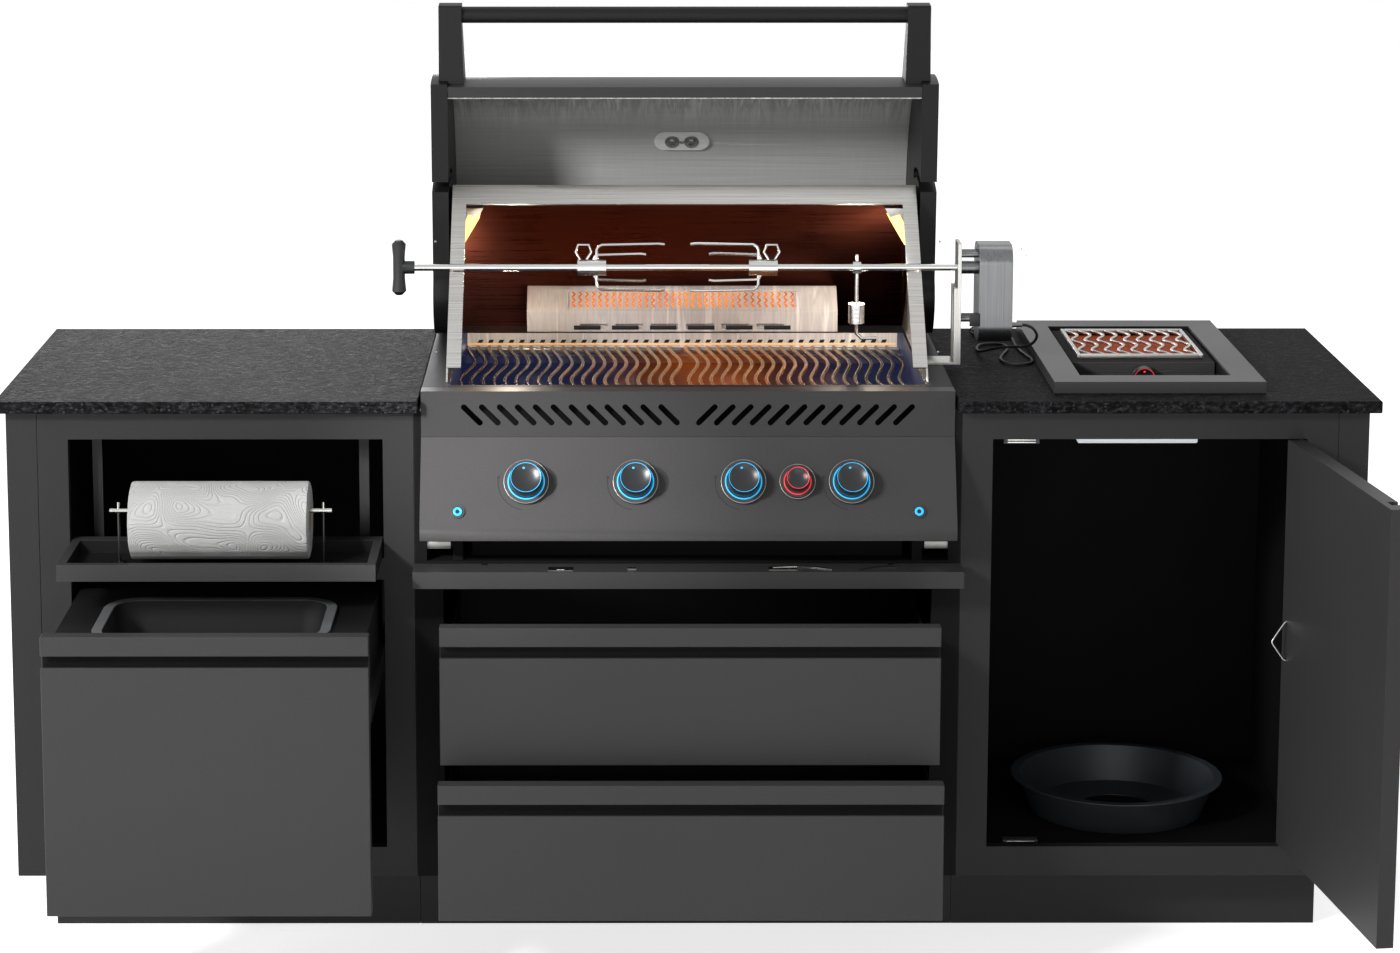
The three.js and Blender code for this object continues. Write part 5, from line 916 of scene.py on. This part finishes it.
class ISLAND_OT_drawers(bpy.types.Operator):
    """Finishes the drawers, the flap, the towel door and the gas door, with their small fittings"""
    bl_idname = "island.drawers"
    bl_label = "Drawers, flap and doors"

    def execute(self, context):
        edge = context.scene.island_sizes.edge_radius * 1.2
        for node in ("upper_drawer_front", "lower_drawer_front", "bin_drawer_front", "access_flap", "towel_door",
                     "gas_door"):
            made = refined(node, "powder_coat", edge, 3)
            low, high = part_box(node)
            if node.endswith("drawer_front"):
                # The groove under each drawer front's lip is painted near-black as shade
                painted(made, "bay_black", lambda c, n: (
                    low.y + 0.004 < c.y < low.y + 0.0185 and low.z + 0.1 < c.z < high.z - 0.02 and abs(n.x) < 0.5
                ))
            if node == "towel_door":
                # The open door's inner faces are painted dark as shade
                painted(made, "dark_coat", lambda c, n: (
                    c.z < high.z - 0.0015 and low.x + 0.003 < c.x < high.x - 0.003
                    and c.y > low.y + 0.004 and n.z > -0.5
                ))
        for node in ("upper_drawer_box", "lower_drawer_box", "bin_drawer_frame"):
            refined(node, "dark_coat", 0.0004, 1)
        self.flap_fittings()
        self.runner_catch()
        self.flap_plates()
        self.bay_fittings()
        return {"FINISHED"}

    def flap_fittings(self):
        """Latch plates and levers that lie on the flap's inner face, now its top."""
        low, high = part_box("access_flap")
        y, top = low.y, high.z
        # The drip tray slides out 1.6 mm above the flap, so these fittings are flat stampings
        thin, full = top + 0.0007, top + 0.0012
        plates = blocks(
            ((-0.226, y + 0.010, top), (-0.186, y + 0.032, thin)),
            ((-0.212, y + 0.014, thin), (-0.200, y + 0.028, full)),
            ((-0.098, y + 0.018, top), (-0.084, y + 0.028, full)),
            ((0.130, y + 0.014, top), (0.176, y + 0.034, thin)),
        )
        lever = self.strip((0.138, y + 0.031), (0.2325, y + 0.016), 0.012, 0.008, thin, full)
        stay = self.strip((0.276, y + 0.010), (0.336, y + 0.030), 0.009, 0.009, top, full)
        fitting("flap_latch_plates", plates, "access_flap", "bright_wire")
        fitting("flap_latch_lever", lever, "access_flap", "bright_wire")
        fitting("flap_stay", stay, "access_flap", "black_plastic")

    def strip(self, start, end, bow, width, z0, z1):
        """A flat bowed strip between two points of a plan."""
        start, end = Vector(start), Vector(end)
        across = (end - start).orthogonal().normalized()
        rings = []
        for i in range(13):
            middle = start.lerp(end, i / 12) + across * bow * math.sin(math.pi * i / 12)
            near, far = middle - across * width / 2, middle + across * width / 2
            rings.append([(*near, z0), (*far, z0), (*far, z1), (*near, z1)])
        return bar_through(bmesh.new(), rings)

    def flap_plates(self):
        """Steel stop plates in the carcass above the flap's two hinges."""
        fitting("flap_stop_plates", blocks(
            ((-0.4414, -0.334, 0.664), (-0.386, -0.3325, 0.676)),
            ((0.386, -0.334, 0.664), (0.4414, -0.3325, 0.676)),
        ), "island", "steel_dull", edge=0.0004)

    def bay_fittings(self):
        """The two uprights and the small screws in the paper roll's bay."""
        left_wall, right_wall = -1.0342, -0.4648
        fitting("bay_uprights", blocks(*(
            ((x - 0.008, -0.262, 0.655), (x + 0.008, -0.259, 0.8465)) for x in (-0.9685, -0.5305)
        )), "island", "powder_coat")
        places = ((-0.2, 0.764), (-0.26, 0.741), (-0.3, 0.7))
        for name, x, turn in (("left", left_wall, math.pi / 2), ("right", right_wall, -math.pi / 2)):
            screw_row(f"bay_screws_{name}", [(x, y, z) for y, z in places], (0, turn, 0), 0.7)

    def runner_catch(self):
        """The release lever that shows beside the bin drawer's right runner."""
        low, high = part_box("bin_drawer_frame")
        x, y = high.x, low.y
        fitting("runner_release", blocks(
            ((x - 0.0105, y + 0.0005, 0.5075), (x - 0.0085, y + 0.0075, 0.555)),
            ((x - 0.0085, y + 0.0015, 0.512), (x - 0.0045, y + 0.0065, 0.545)),
        ), "bin_drawer", "steel_dull", edge=0.0006)


class ISLAND_OT_paper(bpy.types.Operator):
    """Makes the embossed paper roll and finishes its wire holder"""
    bl_idname = "island.paper"
    bl_label = "Paper roll and holder"

    def execute(self, context):
        holder = refined("towel_holder", "bright_wire", 0.0003, 1, 50)
        low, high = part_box("towel_roll")
        centre = (low + high) / 2
        # Painted shade: the holder's wires below the roll's middle are dark steel
        painted(holder, "steel_dark", lambda c, n: c.z < centre.z - 0.006)
        radius = (high.z - low.z) / 2 - 0.0004
        half = (high.x - low.x) / 2
        steps, spiral, bore = 96, 0.0011, 0.0215
        # The outer layer ends on the one below, so the roll is a spiral and not a plain drum
        rim = []
        for i in range(steps):
            angle = math.tau * i / steps
            soft = 0.00035 * math.sin(9 * angle) + 0.00025 * math.sin(23 * angle + 1)
            rim.append((angle, radius - spiral * (i / steps) + soft - 0.0006))
        outside = (
            (-half, 0.9), (-half + 0.0015, 0.985), (-half + 0.004, 1.0), (-half * 0.34, 1.0),
            (half * 0.34, 1.0), (half - 0.004, 1.0), (half - 0.0015, 0.985), (half, 0.9),
        )
        stations = [(x, [(a, r * share) for a, r in rim]) for x, share in outside]
        stations += [(x, [(a, bore) for a, r in rim]) for x in (half, half - 0.012, -half + 0.012, -half)]
        bm = bmesh.new()
        rings = [
            [bm.verts.new((centre.x + x, centre.y + r * math.cos(a), centre.z + r * math.sin(a))) for a, r in outline]
            for x, outline in stations
        ]
        lofted(bm, rings + rings[:1])
        bmesh.ops.recalc_face_normals(bm, faces=bm.faces)
        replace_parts(fitting("paper_roll", bm, "towel_roll", "paper", 40), "towel_roll")
        wall, reach = (0.02, 0.0216), half - 0.001
        core = turned_mesh([
            (wall[0], -reach), (wall[1], -reach), (wall[1], reach), (wall[0], reach), (wall[0], -reach),
        ], 40)
        onto_x = Matrix.Translation(centre) @ Matrix.Rotation(math.pi / 2, 4, "Y")
        fitting("paper_core", moved(core, onto_x), "towel_roll", "card_core", 40)
        return {"FINISHED"}


class ISLAND_OT_bin(bpy.types.Operator):
    """Finishes the waste bin"""
    bl_idname = "island.bin"
    bl_label = "Waste bin"

    def execute(self, context):
        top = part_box("waste_bin")[1].z
        made = refined("waste_bin", "black_plastic", 0.0014, 3, 40)
        # Painted shade and highlight: the bin darker below its rim, its rim's upper faces lighter grey
        painted(made, "bin_inside", lambda c, n: c.z < top - 0.004)
        painted(made, "bin_rim", lambda c, n: n.z > 0.3 and c.z > top - 0.002)
        return {"FINISHED"}


class ISLAND_OT_gas_cupboard(bpy.types.Operator):
    """Finishes the cylinder's ring and adds the light bar, the magnets, the louvres' backing and the door's hook"""
    bl_idname = "island.gas_cupboard"
    bl_label = "Gas cupboard"

    def execute(self, context):
        refined("tank_ring", "grey_plastic", 0.0012, 2, 40)
        fitting("light_bar", blocks(((0.637, -0.3, 0.8315), (0.833, -0.268, 0.8465))),
                "island", "led_cover", edge=0.003, segments=3)
        magnets = ((0.5155, 0.834), (0.525, 0.153))
        cases = blocks(*(((x, -0.309, z - 0.001), (x + 0.058, -0.291, z + 0.008)) for x, z in magnets))
        plates = blocks(*(
            ((x + 0.006, -0.3102, z + rise), (x + 0.052, -0.3088, z + rise + 0.002))
            for x, z in magnets for rise in (0.0006, 0.0045)
        ))
        fitting("magnet_cases", cases, "island", "grey_plastic", edge=0.0004)
        fitting("magnet_plates", plates, "island", "bright_wire", edge=0.0004)
        # The white floor would show through the open louvres, so a near-black sheet behind them stands in as painted
        # shade
        backing = blocks(((0.4647, 0.2535, 0.1315), (1.0343, 0.2542, 0.893)))
        fitting("vent_backing", backing, "island", "bay_black")
        self.hook()
        return {"FINISHED"}

    def hook(self):
        """A bent wire hook on the door's inner face, pointed like a V."""
        hinge = Vector(joint_named("gas_door_hinge")["pos_m"])
        opened = math.radians(97)
        along = Vector((-math.cos(opened), -math.sin(opened), 0))
        inward = Vector((-math.sin(opened), math.cos(opened), 0))
        face = Vector((hinge.x, hinge.y, 0)) + along * 0.018 + inward * 0.021
        points = [face + inward * out + along * over + Vector((0, 0, z)) for out, over, z in (
            (-0.004, 0, 0.546), (0.003, 0, 0.546), (0.026, 0.006, 0.5165),
            (0.026, 0.006, 0.5125), (0.003, 0, 0.481), (-0.004, 0, 0.481),
        )]
        line = [a.lerp(b, t / 6) for a, b in zip(points, points[1:]) for t in range(6)] + [points[-1]]
        for _ in range(3):
            line = [line[0], *((a + b * 2 + c) / 4 for a, b, c in zip(line, line[1:], line[2:])), line[-1]]
        dressed(tube_along("door_hook", line, 0.0018), "gas_door", "bright_wire", 60)


# Grill head

class ISLAND_OT_grill_head(bpy.types.Operator):
    """Finishes the vent panel, the control panel, the firebox and the steel hood frame with its lamps"""
    bl_idname = "island.grill_head"
    bl_label = "Grill head"

    def execute(self, context):
        refined("vent_panel", "powder_coat", 0.0008)
        refined("control_panel", "panel_coat", context.scene.island_sizes.edge_radius)
        # The flames' light is painted as a glow on the firebox's inner faces alone
        painted(refined("firebox", "dark_coat", 0.0006, 1), "flame_plates", lambda c, n: (
            abs(c.x) < 0.425 and -0.3 < c.y < 0.24 and c.z < 0.915
            and n.x * c.x < 0.02 and n.y * c.y < 0.02 and n.z > -0.5
        ))
        # Darker brown steel on the hood's wall, on the inside of its flanges and under its beam
        painted(refined("hood_frame", "steel_x", 0.0005, 1), "sooty_steel", lambda c, n: (
            (n.y < -0.8 and c.y > 0.15) or (abs(n.x) > 0.9 and abs(c.x) < 0.3942 and c.y > -0.05)
            or (n.z < -0.8 and c.z > 1.1 and c.y > 0.03)
        ))
        # The drip tray is painted near-black as the shade it sits in
        refined("drip_tray", "bay_black", 0.0004, 1)
        self.panel_marks()
        self.lamps()
        return {"FINISHED"}

    def panel_marks(self):
        """Plain printed arcs beside the knobs, from high to low."""
        radius, thickness, steps = 0.0455, 0.00025, 20
        bm = bmesh.new()
        for index in range(1, 5):
            joint = joint_named(f"burner_knob_{index}_turn")
            matrix = seat_on(joint["pos_m"], joint["axis"])
            for start, end, width in ((170, 262, 0.0009), (166, 172, 0.0022)):
                rings = []
                for i in range(steps + 1):
                    angle = math.radians(start + (end - start) * i / steps)
                    rings.append([
                        matrix @ Vector((r * math.cos(angle), r * math.sin(angle), z)) for r, z in (
                            (radius - width, 0), (radius + width, 0), (radius + width, thickness),
                            (radius - width, thickness),
                        )
                    ])
                bar_through(bm, rings)
        fitting("knob_scale_marks", bm, "island", "mark_grey")

    def lamps(self):
        """A lit glass on the sloping inner face of each triangular lamp housing."""
        outline = ((0.3775, 1.106), (0.3505, 1.152), (0.3685, 1.158), (0.3905, 1.113))
        for side, name in ((-1, "left"), (1, "right")):
            glass = bar_through(bmesh.new(), [[(side * x, y, z) for x, z in outline] for y in (0.0395, 0.0995)])
            fitting(name + "_lamp_glass", glass, "island", "lamp_glass")


class ISLAND_OT_controls(bpy.types.Operator):
    """Makes the knobs with their lit rings, and the two lit buttons"""
    bl_idname = "island.controls"
    bl_label = "Knobs and buttons"

    def execute(self, context):
        for index in range(1, 5):
            self.knob(f"burner_knob_{index}", 27.0, 34.0, 8.0, "knob_light", 12, 30.2)
        self.knob("rear_burner_knob", 20.5, 30.0, 7.0, "rear_light", -70, 22.8)
        self.knob("side_burner_knob", 19.5, 24.0, 6.0, "rear_light", 0)
        for name in ("ignition_button", "light_button"):
            self.button(name)
        return {"FINISHED"}

    def ring(self, name, matrix, radius, height, thickness, body, light, squash=0.6):
        """A lit ring of round or flattened section."""
        angles = [math.tau * i / 8 for i in range(9)]
        profile = [(radius + thickness * math.cos(a), height + thickness * squash * math.sin(a)) for a in angles]
        fitting(name, moved(turned_mesh(profile, 64), matrix), body, light, 60)

    def knob(self, node, radius, height, crown, light, mark_angle, base_radius=None):
        """A waisted grip with a dished face, bored as deep as its valve stem needs. Sizes in millimetres."""
        joint = joint_named(node + "_turn")
        matrix = seat_on(joint["pos_m"], joint["axis"]) @ MILLIMETRES
        r, h, bore, seat = radius, height, 4.4, 1.5
        waist = h * 0.46
        profile = [
            (bore, seat), (r - 1.2, seat), (r - 0.2, 2.6), (r, 4.5), (r - 0.2, waist - 1.6), (r - 1.6, waist - 0.5),
            (r - 1.6, waist + 0.7), (r - 0.3, waist + 1.6), (r - 0.5, waist + 3.5), (r - 1.1, h - 3.2),
            (r - 1.5, h - 1.0), (r - 2.2, h - 0.05), (r - 3.0, h - 0.3), (r - 5.0, h - 1.7), (r * 0.42, h - 4.2),
            (0.0, h - 4.9), (0.0, h - crown), (bore, h - crown), (bore, seat),
        ]
        grip = moved(turned_mesh(profile, 72), matrix)
        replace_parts(fitting(node + "_grip", grip, node, "knob_black", 32), node)
        self.ring(node + "_face_light", matrix, r - 2.6, h - 0.55, 0.75, node, light)
        self.ring(node + "_waist_light", matrix, r - 1.25, waist + 0.1, 0.6, node, light, 1.0)
        if base_radius:
            bezel, middle = 7.0, base_radius - 1.3
            # The base ring is fixed, so it stays 0.15 mm clear of the grip that turns inside it
            thickness = min(1.2, middle - r - 0.15)
            self.ring(node + "_base_light", matrix, middle, bezel + 0.2, thickness, "island", light, 0.35)
            self.ring(node + "_bezel_rim", matrix, base_radius + 5.6, bezel + 0.1, 0.7, "island", "steel_dull")
        angle = math.radians(90 + mark_angle)
        reach = (r - 5.0) * 0.76
        dot = turned_mesh([(0, 0), (1.7, 0), (1.9, 0.35), (1.2, 0.75), (0, 0.85)], 24)
        at = Matrix.Translation((reach * math.cos(angle), reach * math.sin(angle), h - 3.15))
        fitting(node + "_pointer", moved(dot, matrix @ at), node, light, 60)

    def button(self, node):
        """A button with a lit ring on its face."""
        low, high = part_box(node)
        out = -Vector(joint_named(node + "_push")["axis"]).normalized()
        refined(node, "knob_black", 0.0003, 2, 50)
        middle = (low + high) / 2
        reach = max((vert.co - middle).dot(out) for vert in NODES[node].data.vertices)
        matrix = seat_on(middle + out * reach, out) @ MILLIMETRES
        self.ring(node + "_light", matrix, 5.4, 0.1, 1.9, node, "knob_light", 0.35)


class ISLAND_OT_grids(bpy.types.Operator):
    """Makes the wave rods of the cooking grids and of the side burner's grid with Geometry Nodes"""
    bl_idname = "island.grids"
    bl_label = "Cooking grids"

    def execute(self, context):
        sizes = context.scene.island_sizes
        tree = wave_rod_tree()
        for node in ("cooking_grid_left", "cooking_grid_right"):
            self.rods(node + "_rods", node, tree, 20, 3.0, sizes.grid_rod, sizes.grid_wave, (0, 0.0003), "hot_rods")
            low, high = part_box(node)
            bars = blocks(*(
                ((low.x, y, low.z), (high.x, y + 0.008, high.z - sizes.grid_rod * 0.62))
                for y in (low.y, high.y - 0.008)
            ))
            bars = fitting(node + "_bars", bars, "island", "steel_dull", edge=0.0015, segments=3)
            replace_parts(bars, node)
        self.side_grid(tree)
        return {"FINISHED"}

    def rods(self, name, node, tree, count, half_waves, rod, swing, inset, look):
        """Waved rods in a grid's box, inset from its sides and from its ends."""
        low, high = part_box(node)
        sides, ends = inset
        made = grown(name, tree, {
            "Count": count, "Pitch": (high.x - low.x - 2 * sides - rod - 2 * swing) / (count - 1),
            "Length": high.y - low.y - 2 * ends, "Swing": swing, "Half Waves": half_waves, "Thickness": rod,
            "Corner": Vector((low.x + sides + rod / 2 + swing, low.y + ends, high.z - rod / 2)),
            "Material": finish(look),
        })
        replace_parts(dressed(made, "island", None, 50), node)

    def side_grid(self, tree):
        """Nine wave rods in a bright square frame over the ceramic burner."""
        node, bar = "side_burner_grid", 0.006
        self.rods("side_grid_rods", node, tree, 9, 5.0, 0.0052, 0.0075, (bar, bar / 2), "steel_x")
        low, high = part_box(node)
        bars = blocks(
            (low, (low.x + bar, high.y, high.z)),
            ((high.x - bar, low.y, low.z), high),
            ((low.x + bar, low.y, low.z), (high.x - bar, low.y + bar, high.z)),
            ((low.x + bar, high.y - bar, low.z), (high.x - bar, high.y, high.z)),
        )
        bars = fitting("side_grid_frame", bars, "island", "steel_x", edge=0.0012, segments=3)
        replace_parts(bars, node)


class ISLAND_OT_burners(bpy.types.Operator):
    """Finishes the burner tubes and sear plates and makes the rear burner's glowing screen"""
    bl_idname = "island.burners"
    bl_label = "Burners"

    def execute(self, context):
        refined("burner_set", "steel_dull", 0.0004, 1, 50)
        for index in range(1, 5):
            # The sear plates carry the flames' painted glow
            refined(f"sear_plate_{index}", "flame_plates", 0.0005, 1)
        refined("rear_burner", "burner_steel", 0.0008)
        self.screen()
        self.air_slots()
        self.rail()
        return {"FINISHED"}

    def rail(self):
        """The pierced rail behind the grids: holes painted black as shade, over a painted line of the flames' light.
        """
        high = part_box("cooking_grid_left")[1]
        front, foot = high.y + 0.0007, high.z
        rail = blocks(((-0.378, front, foot - 0.004), (0.378, front + 0.001, foot + 0.0215)))
        fitting("grid_rail", rail, "island", "burner_steel")
        outline = ((-0.0055, 0), (0.0025, 0), (0.0055, 0.0055), (-0.0025, 0.0055))
        hole = bar_through(bmesh.new(), [[(x, y, z) for x, z in outline] for y in (-0.0004, 0.0001)])
        points = [((i - 19.5) * 0.0182, front, foot + 0.0045) for i in range(40)]
        set_on_points("rail_holes", object_from_bmesh("rail_hole", hole), points, (0, 0, 0), "hole_black")
        glow = blocks(((-0.376, front - 0.0003, foot + 0.0012), (0.376, front + 0.0001, foot + 0.0034)))
        fitting("rail_glow", glow, "island", "rail_glow")

    def air_slots(self):
        """Six air slots along the foot of the rear burner's front, painted as near-black shapes for the shade inside
        them.
        """
        low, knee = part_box("rear_burner")[0], 0.964
        slot = object_from_bmesh("air_slot", blocks(((-0.0235, -0.0004, -0.0038), (0.0235, 0.0006, 0.0038))))
        points = [((i - 2.5) * 0.067, low.y, low.z + 0.2 * (knee - low.z)) for i in range(6)]
        set_on_points("air_slots", bevelled(slot, 0.0035, 4), points, (0, 0, 0), "hole_black")

    def chevron(self, size, thickness):
        """One glowing opening of the screen, as a flat arrow."""
        half, tall, arm = size / 2, size * 0.66, size * 0.38
        outline = (
            (-half, tall), (arm - half, tall), (half * 0.75, 0), (arm - half, -tall), (-half, -tall),
            (half * 0.75 - arm, 0),
        )
        return bar_through(bmesh.new(), [[(x, y, z) for x, y in outline] for z in (thickness, 0)])

    def screen(self):
        """Three rows of chevrons on the burner's sloping upper face, from its knee to its crest."""
        knee, crest = Vector((0, 0.191, 0.964)), Vector((0, 0.234, 1.0))
        slope = (crest - knee).normalized()
        outward = Vector((0, -slope.z, slope.y))
        middle = (knee + crest) / 2 + Vector((0.002, 0, 0)) - outward * 0.0036
        points = [
            middle + Vector(((column - 16.5) * 0.0117, 0, 0)) + slope * row * 0.0138
            for row in (-1, 0, 1) for column in range(34)
        ]
        shape = object_from_bmesh("screen_opening", self.chevron(0.0092, 0.0007))
        turn = (math.atan2(-outward.y, outward.z), 0, 0)
        set_on_points("screen_openings", shape, points, turn, "screen_glow")


class ISLAND_OT_lid(bpy.types.Operator):
    """Finishes the lid's shell, its bright liner, its two cast end caps, the handle and the gauge"""
    bl_idname = "island.lid"
    bl_label = "Lid"

    def execute(self, context):
        edge = context.scene.island_sizes.edge_radius
        refined("lid_shell", "powder_coat", 0.0007, 2, 40)
        refined("lid_liner", "liner_steel", 0.0003, 1, 40)
        refined("lid_cap_left", "cast_coat", edge, 3, 40)
        refined("lid_cap_right", "cast_coat", edge, 3, 40)
        refined("lid_handle", "dark_coat", 0.0006, 2, 50)
        self.gauge()
        return {"FINISHED"}

    def gauge(self):
        """The gauge's oval back plate inside the lid, with two domed nuts and a screw between them."""
        made = refined("lid_gauge", "gauge_steel", 0.0006, 2, 40)
        face = max((f for f in made.data.polygons if f.normal.y < -0.3 and f.normal.z < -0.3), key=lambda f: f.area)
        out = face.normal.copy()
        matrix = seat_on(face.center, out) @ MILLIMETRES
        nut = [(0, 0), (13, 0), (13, 1.2), (11.5, 1.8), (8, 1.8), (7.6, 3.6), (5.6, 4.6), (5.2, 3.2), (0, 2.4)]
        screw = [(0, 0), (3.6, 0), (3.4, 2.2), (2, 3.2), (0, 3.4)]
        for name, profile, x in (("left_nut", nut, -17), ("right_nut", nut, 17), ("screw", screw, 0)):
            shape = moved(turned_mesh(profile, 28), matrix @ Matrix.Translation((x, 0, 0)))
            fitting("gauge_" + name, shape, "lid", "steel_dull", 40)
        self.dial(made, -out)

    def dial(self, made, out):
        """The gauge's plain round face outside the lid: a dark disc with eleven ticks and a pointer."""
        points = [vert.co for vert in made.data.vertices]
        reach = max(point.dot(out) for point in points)
        rim = [point for point in points if point.dot(out) > reach - 0.0002]
        centre = sum(rim, Vector()) / len(rim)
        matrix = seat_on(centre, out) @ MILLIMETRES
        radius = max((point - centre).length for point in rim) * 1000 - 2.4
        disc = turned_mesh([(0, -0.2), (radius, -0.2), (radius, 0.25), (0, 0.25)], 48)
        fitting("gauge_dial", moved(disc, matrix), "lid", "knob_black", 40)
        tick = ((radius - 5.5, -0.5, 0.2), (radius - 1.5, 0.5, 0.5))
        pointer = ((-3, -0.7, 0.2), (radius - 6.5, 0.7, 0.9))
        marks = bmesh.new()
        for box, degrees in [(tick, 225 - 27 * step) for step in range(11)] + [(pointer, 205)]:
            joined(marks, moved(blocks(box), Matrix.Rotation(math.radians(degrees), 4, "Z")))
        joined(marks, turned_mesh([(0, 0), (3, 0), (2.6, 1.3), (0, 1.5)], 20))
        fitting("gauge_marks", moved(marks, matrix), "lid", "white_mark", 40)


class ISLAND_OT_rotisserie(bpy.types.Operator):
    """Finishes the spit, its handle, forks and counterweight, and the motor on its bracket"""
    bl_idname = "island.rotisserie"
    bl_label = "Rotisserie"

    def execute(self, context):
        refined("spit_rod", "chrome", 0.0004, 1, 50)
        refined("spit_handle", "black_plastic", 0.001, 3, 50)
        for name in ("spit_fork_left", "spit_fork_right", "counterweight"):
            refined(name, "chrome", 0.0004, 1, 50)
        refined("motor_bracket", "steel_z", 0.0004, 1)
        refined("motor", "motor_cast", 0.003, 4)
        self.motor_details()
        return {"FINISHED"}

    def motor_details(self):
        """The motor's switch and its four cover screws."""
        low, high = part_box("motor")
        switch = blocks((
            (low.x + 0.012, low.y - 0.0012, low.z + 0.03), (low.x + 0.03, low.y + 0.0006, low.z + 0.052),
        ))
        fitting("motor_switch", switch, "island", "black_plastic", edge=0.0009)
        points = [
            (high.x, y, z) for y in (low.y + 0.014, high.y - 0.014) for z in (low.z + 0.016, high.z - 0.016)
        ]
        screw_row("motor_screws", points, (0, math.pi / 2, 0), 0.8)


class ISLAND_OT_side_burner(bpy.types.Operator):
    """Finishes the side burner's frame and well and makes its hot ceramic tiles"""
    bl_idname = "island.side_burner"
    bl_label = "Side burner"

    def execute(self, context):
        refined("side_burner_frame", "frame_coat", 0.0012, 3)
        low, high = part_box("side_burner_grid")
        well = refined("side_burner_body", "panel_coat", 0.0006, 1)
        # The well's lower faces are painted near-black as shade
        painted(well, "bay_black", lambda c, n: c.z < high.z - 0.006 and c.y > low.y - 0.004)
        inset, seam, top = 0.0045, 0.0012, high.z - 0.0115
        middle = low.x + (high.x - low.x) / 2
        tiles = blocks(*(
            ((start, low.y + inset, top - 0.015), (end, high.y - inset, top))
            for start, end in ((low.x + inset, middle - seam), (middle + seam, high.x - inset))
        ))
        fitting("ceramic_tiles", tiles, "island", "hot_ceramic")
        return {"FINISHED"}


class ISLAND_OT_fasteners(bpy.types.Operator):
    """Sets the four screw heads of the hood's flanges"""
    bl_idname = "island.fasteners"
    bl_label = "Fasteners"

    def execute(self, context):
        low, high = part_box("hood_frame")
        points = [(x, low.y, z) for x in (low.x + 0.011, high.x - 0.011) for z in (low.z + 0.05, high.z - 0.05)]
        screw_row("hood_screws", points, (math.pi / 2, 0, 0), 0.9)
        return {"FINISHED"}


# Panel and registration

PIECES = (
    ISLAND_OT_stage,
    ISLAND_OT_cord,
    ISLAND_OT_cabinets,
    ISLAND_OT_drawers,
    ISLAND_OT_paper,
    ISLAND_OT_bin,
    ISLAND_OT_gas_cupboard,
    ISLAND_OT_grill_head,
    ISLAND_OT_controls,
    ISLAND_OT_grids,
    ISLAND_OT_burners,
    ISLAND_OT_lid,
    ISLAND_OT_rotisserie,
    ISLAND_OT_side_burner,
    ISLAND_OT_fasteners,
)


class ISLAND_PT_panel(bpy.types.Panel):
    """Sizes, colours and the operators that build each group of pieces"""
    bl_idname = "ISLAND_PT_panel"
    bl_label = "Outdoor kitchen island"
    bl_space_type = "VIEW_3D"
    bl_region_type = "UI"
    bl_category = "Island"

    def draw(self, context):
        column = self.layout.column(align=True)
        for group in (context.scene.island_sizes, context.scene.island_colours):
            for name in group.__annotations__:
                column.prop(group, name)
        column.separator()
        for operator in PIECES:
            column.operator(operator.bl_idname)


CLASSES = (IslandSizes, IslandColours, *PIECES, ISLAND_PT_panel)


def register():
    for item in CLASSES:
        bpy.utils.register_class(item)
    bpy.types.Scene.island_sizes = bpy.props.PointerProperty(type=IslandSizes)
    bpy.types.Scene.island_colours = bpy.props.PointerProperty(type=IslandColours)


def unregister():
    del bpy.types.Scene.island_colours
    del bpy.types.Scene.island_sizes
    for item in reversed(CLASSES):
        bpy.utils.unregister_class(item)


def main():
    register()
    for operator in PIECES:
        group, name = operator.bl_idname.split(".")
        getattr(getattr(bpy.ops, group), name)()


if __name__ == "__main__":
    main()
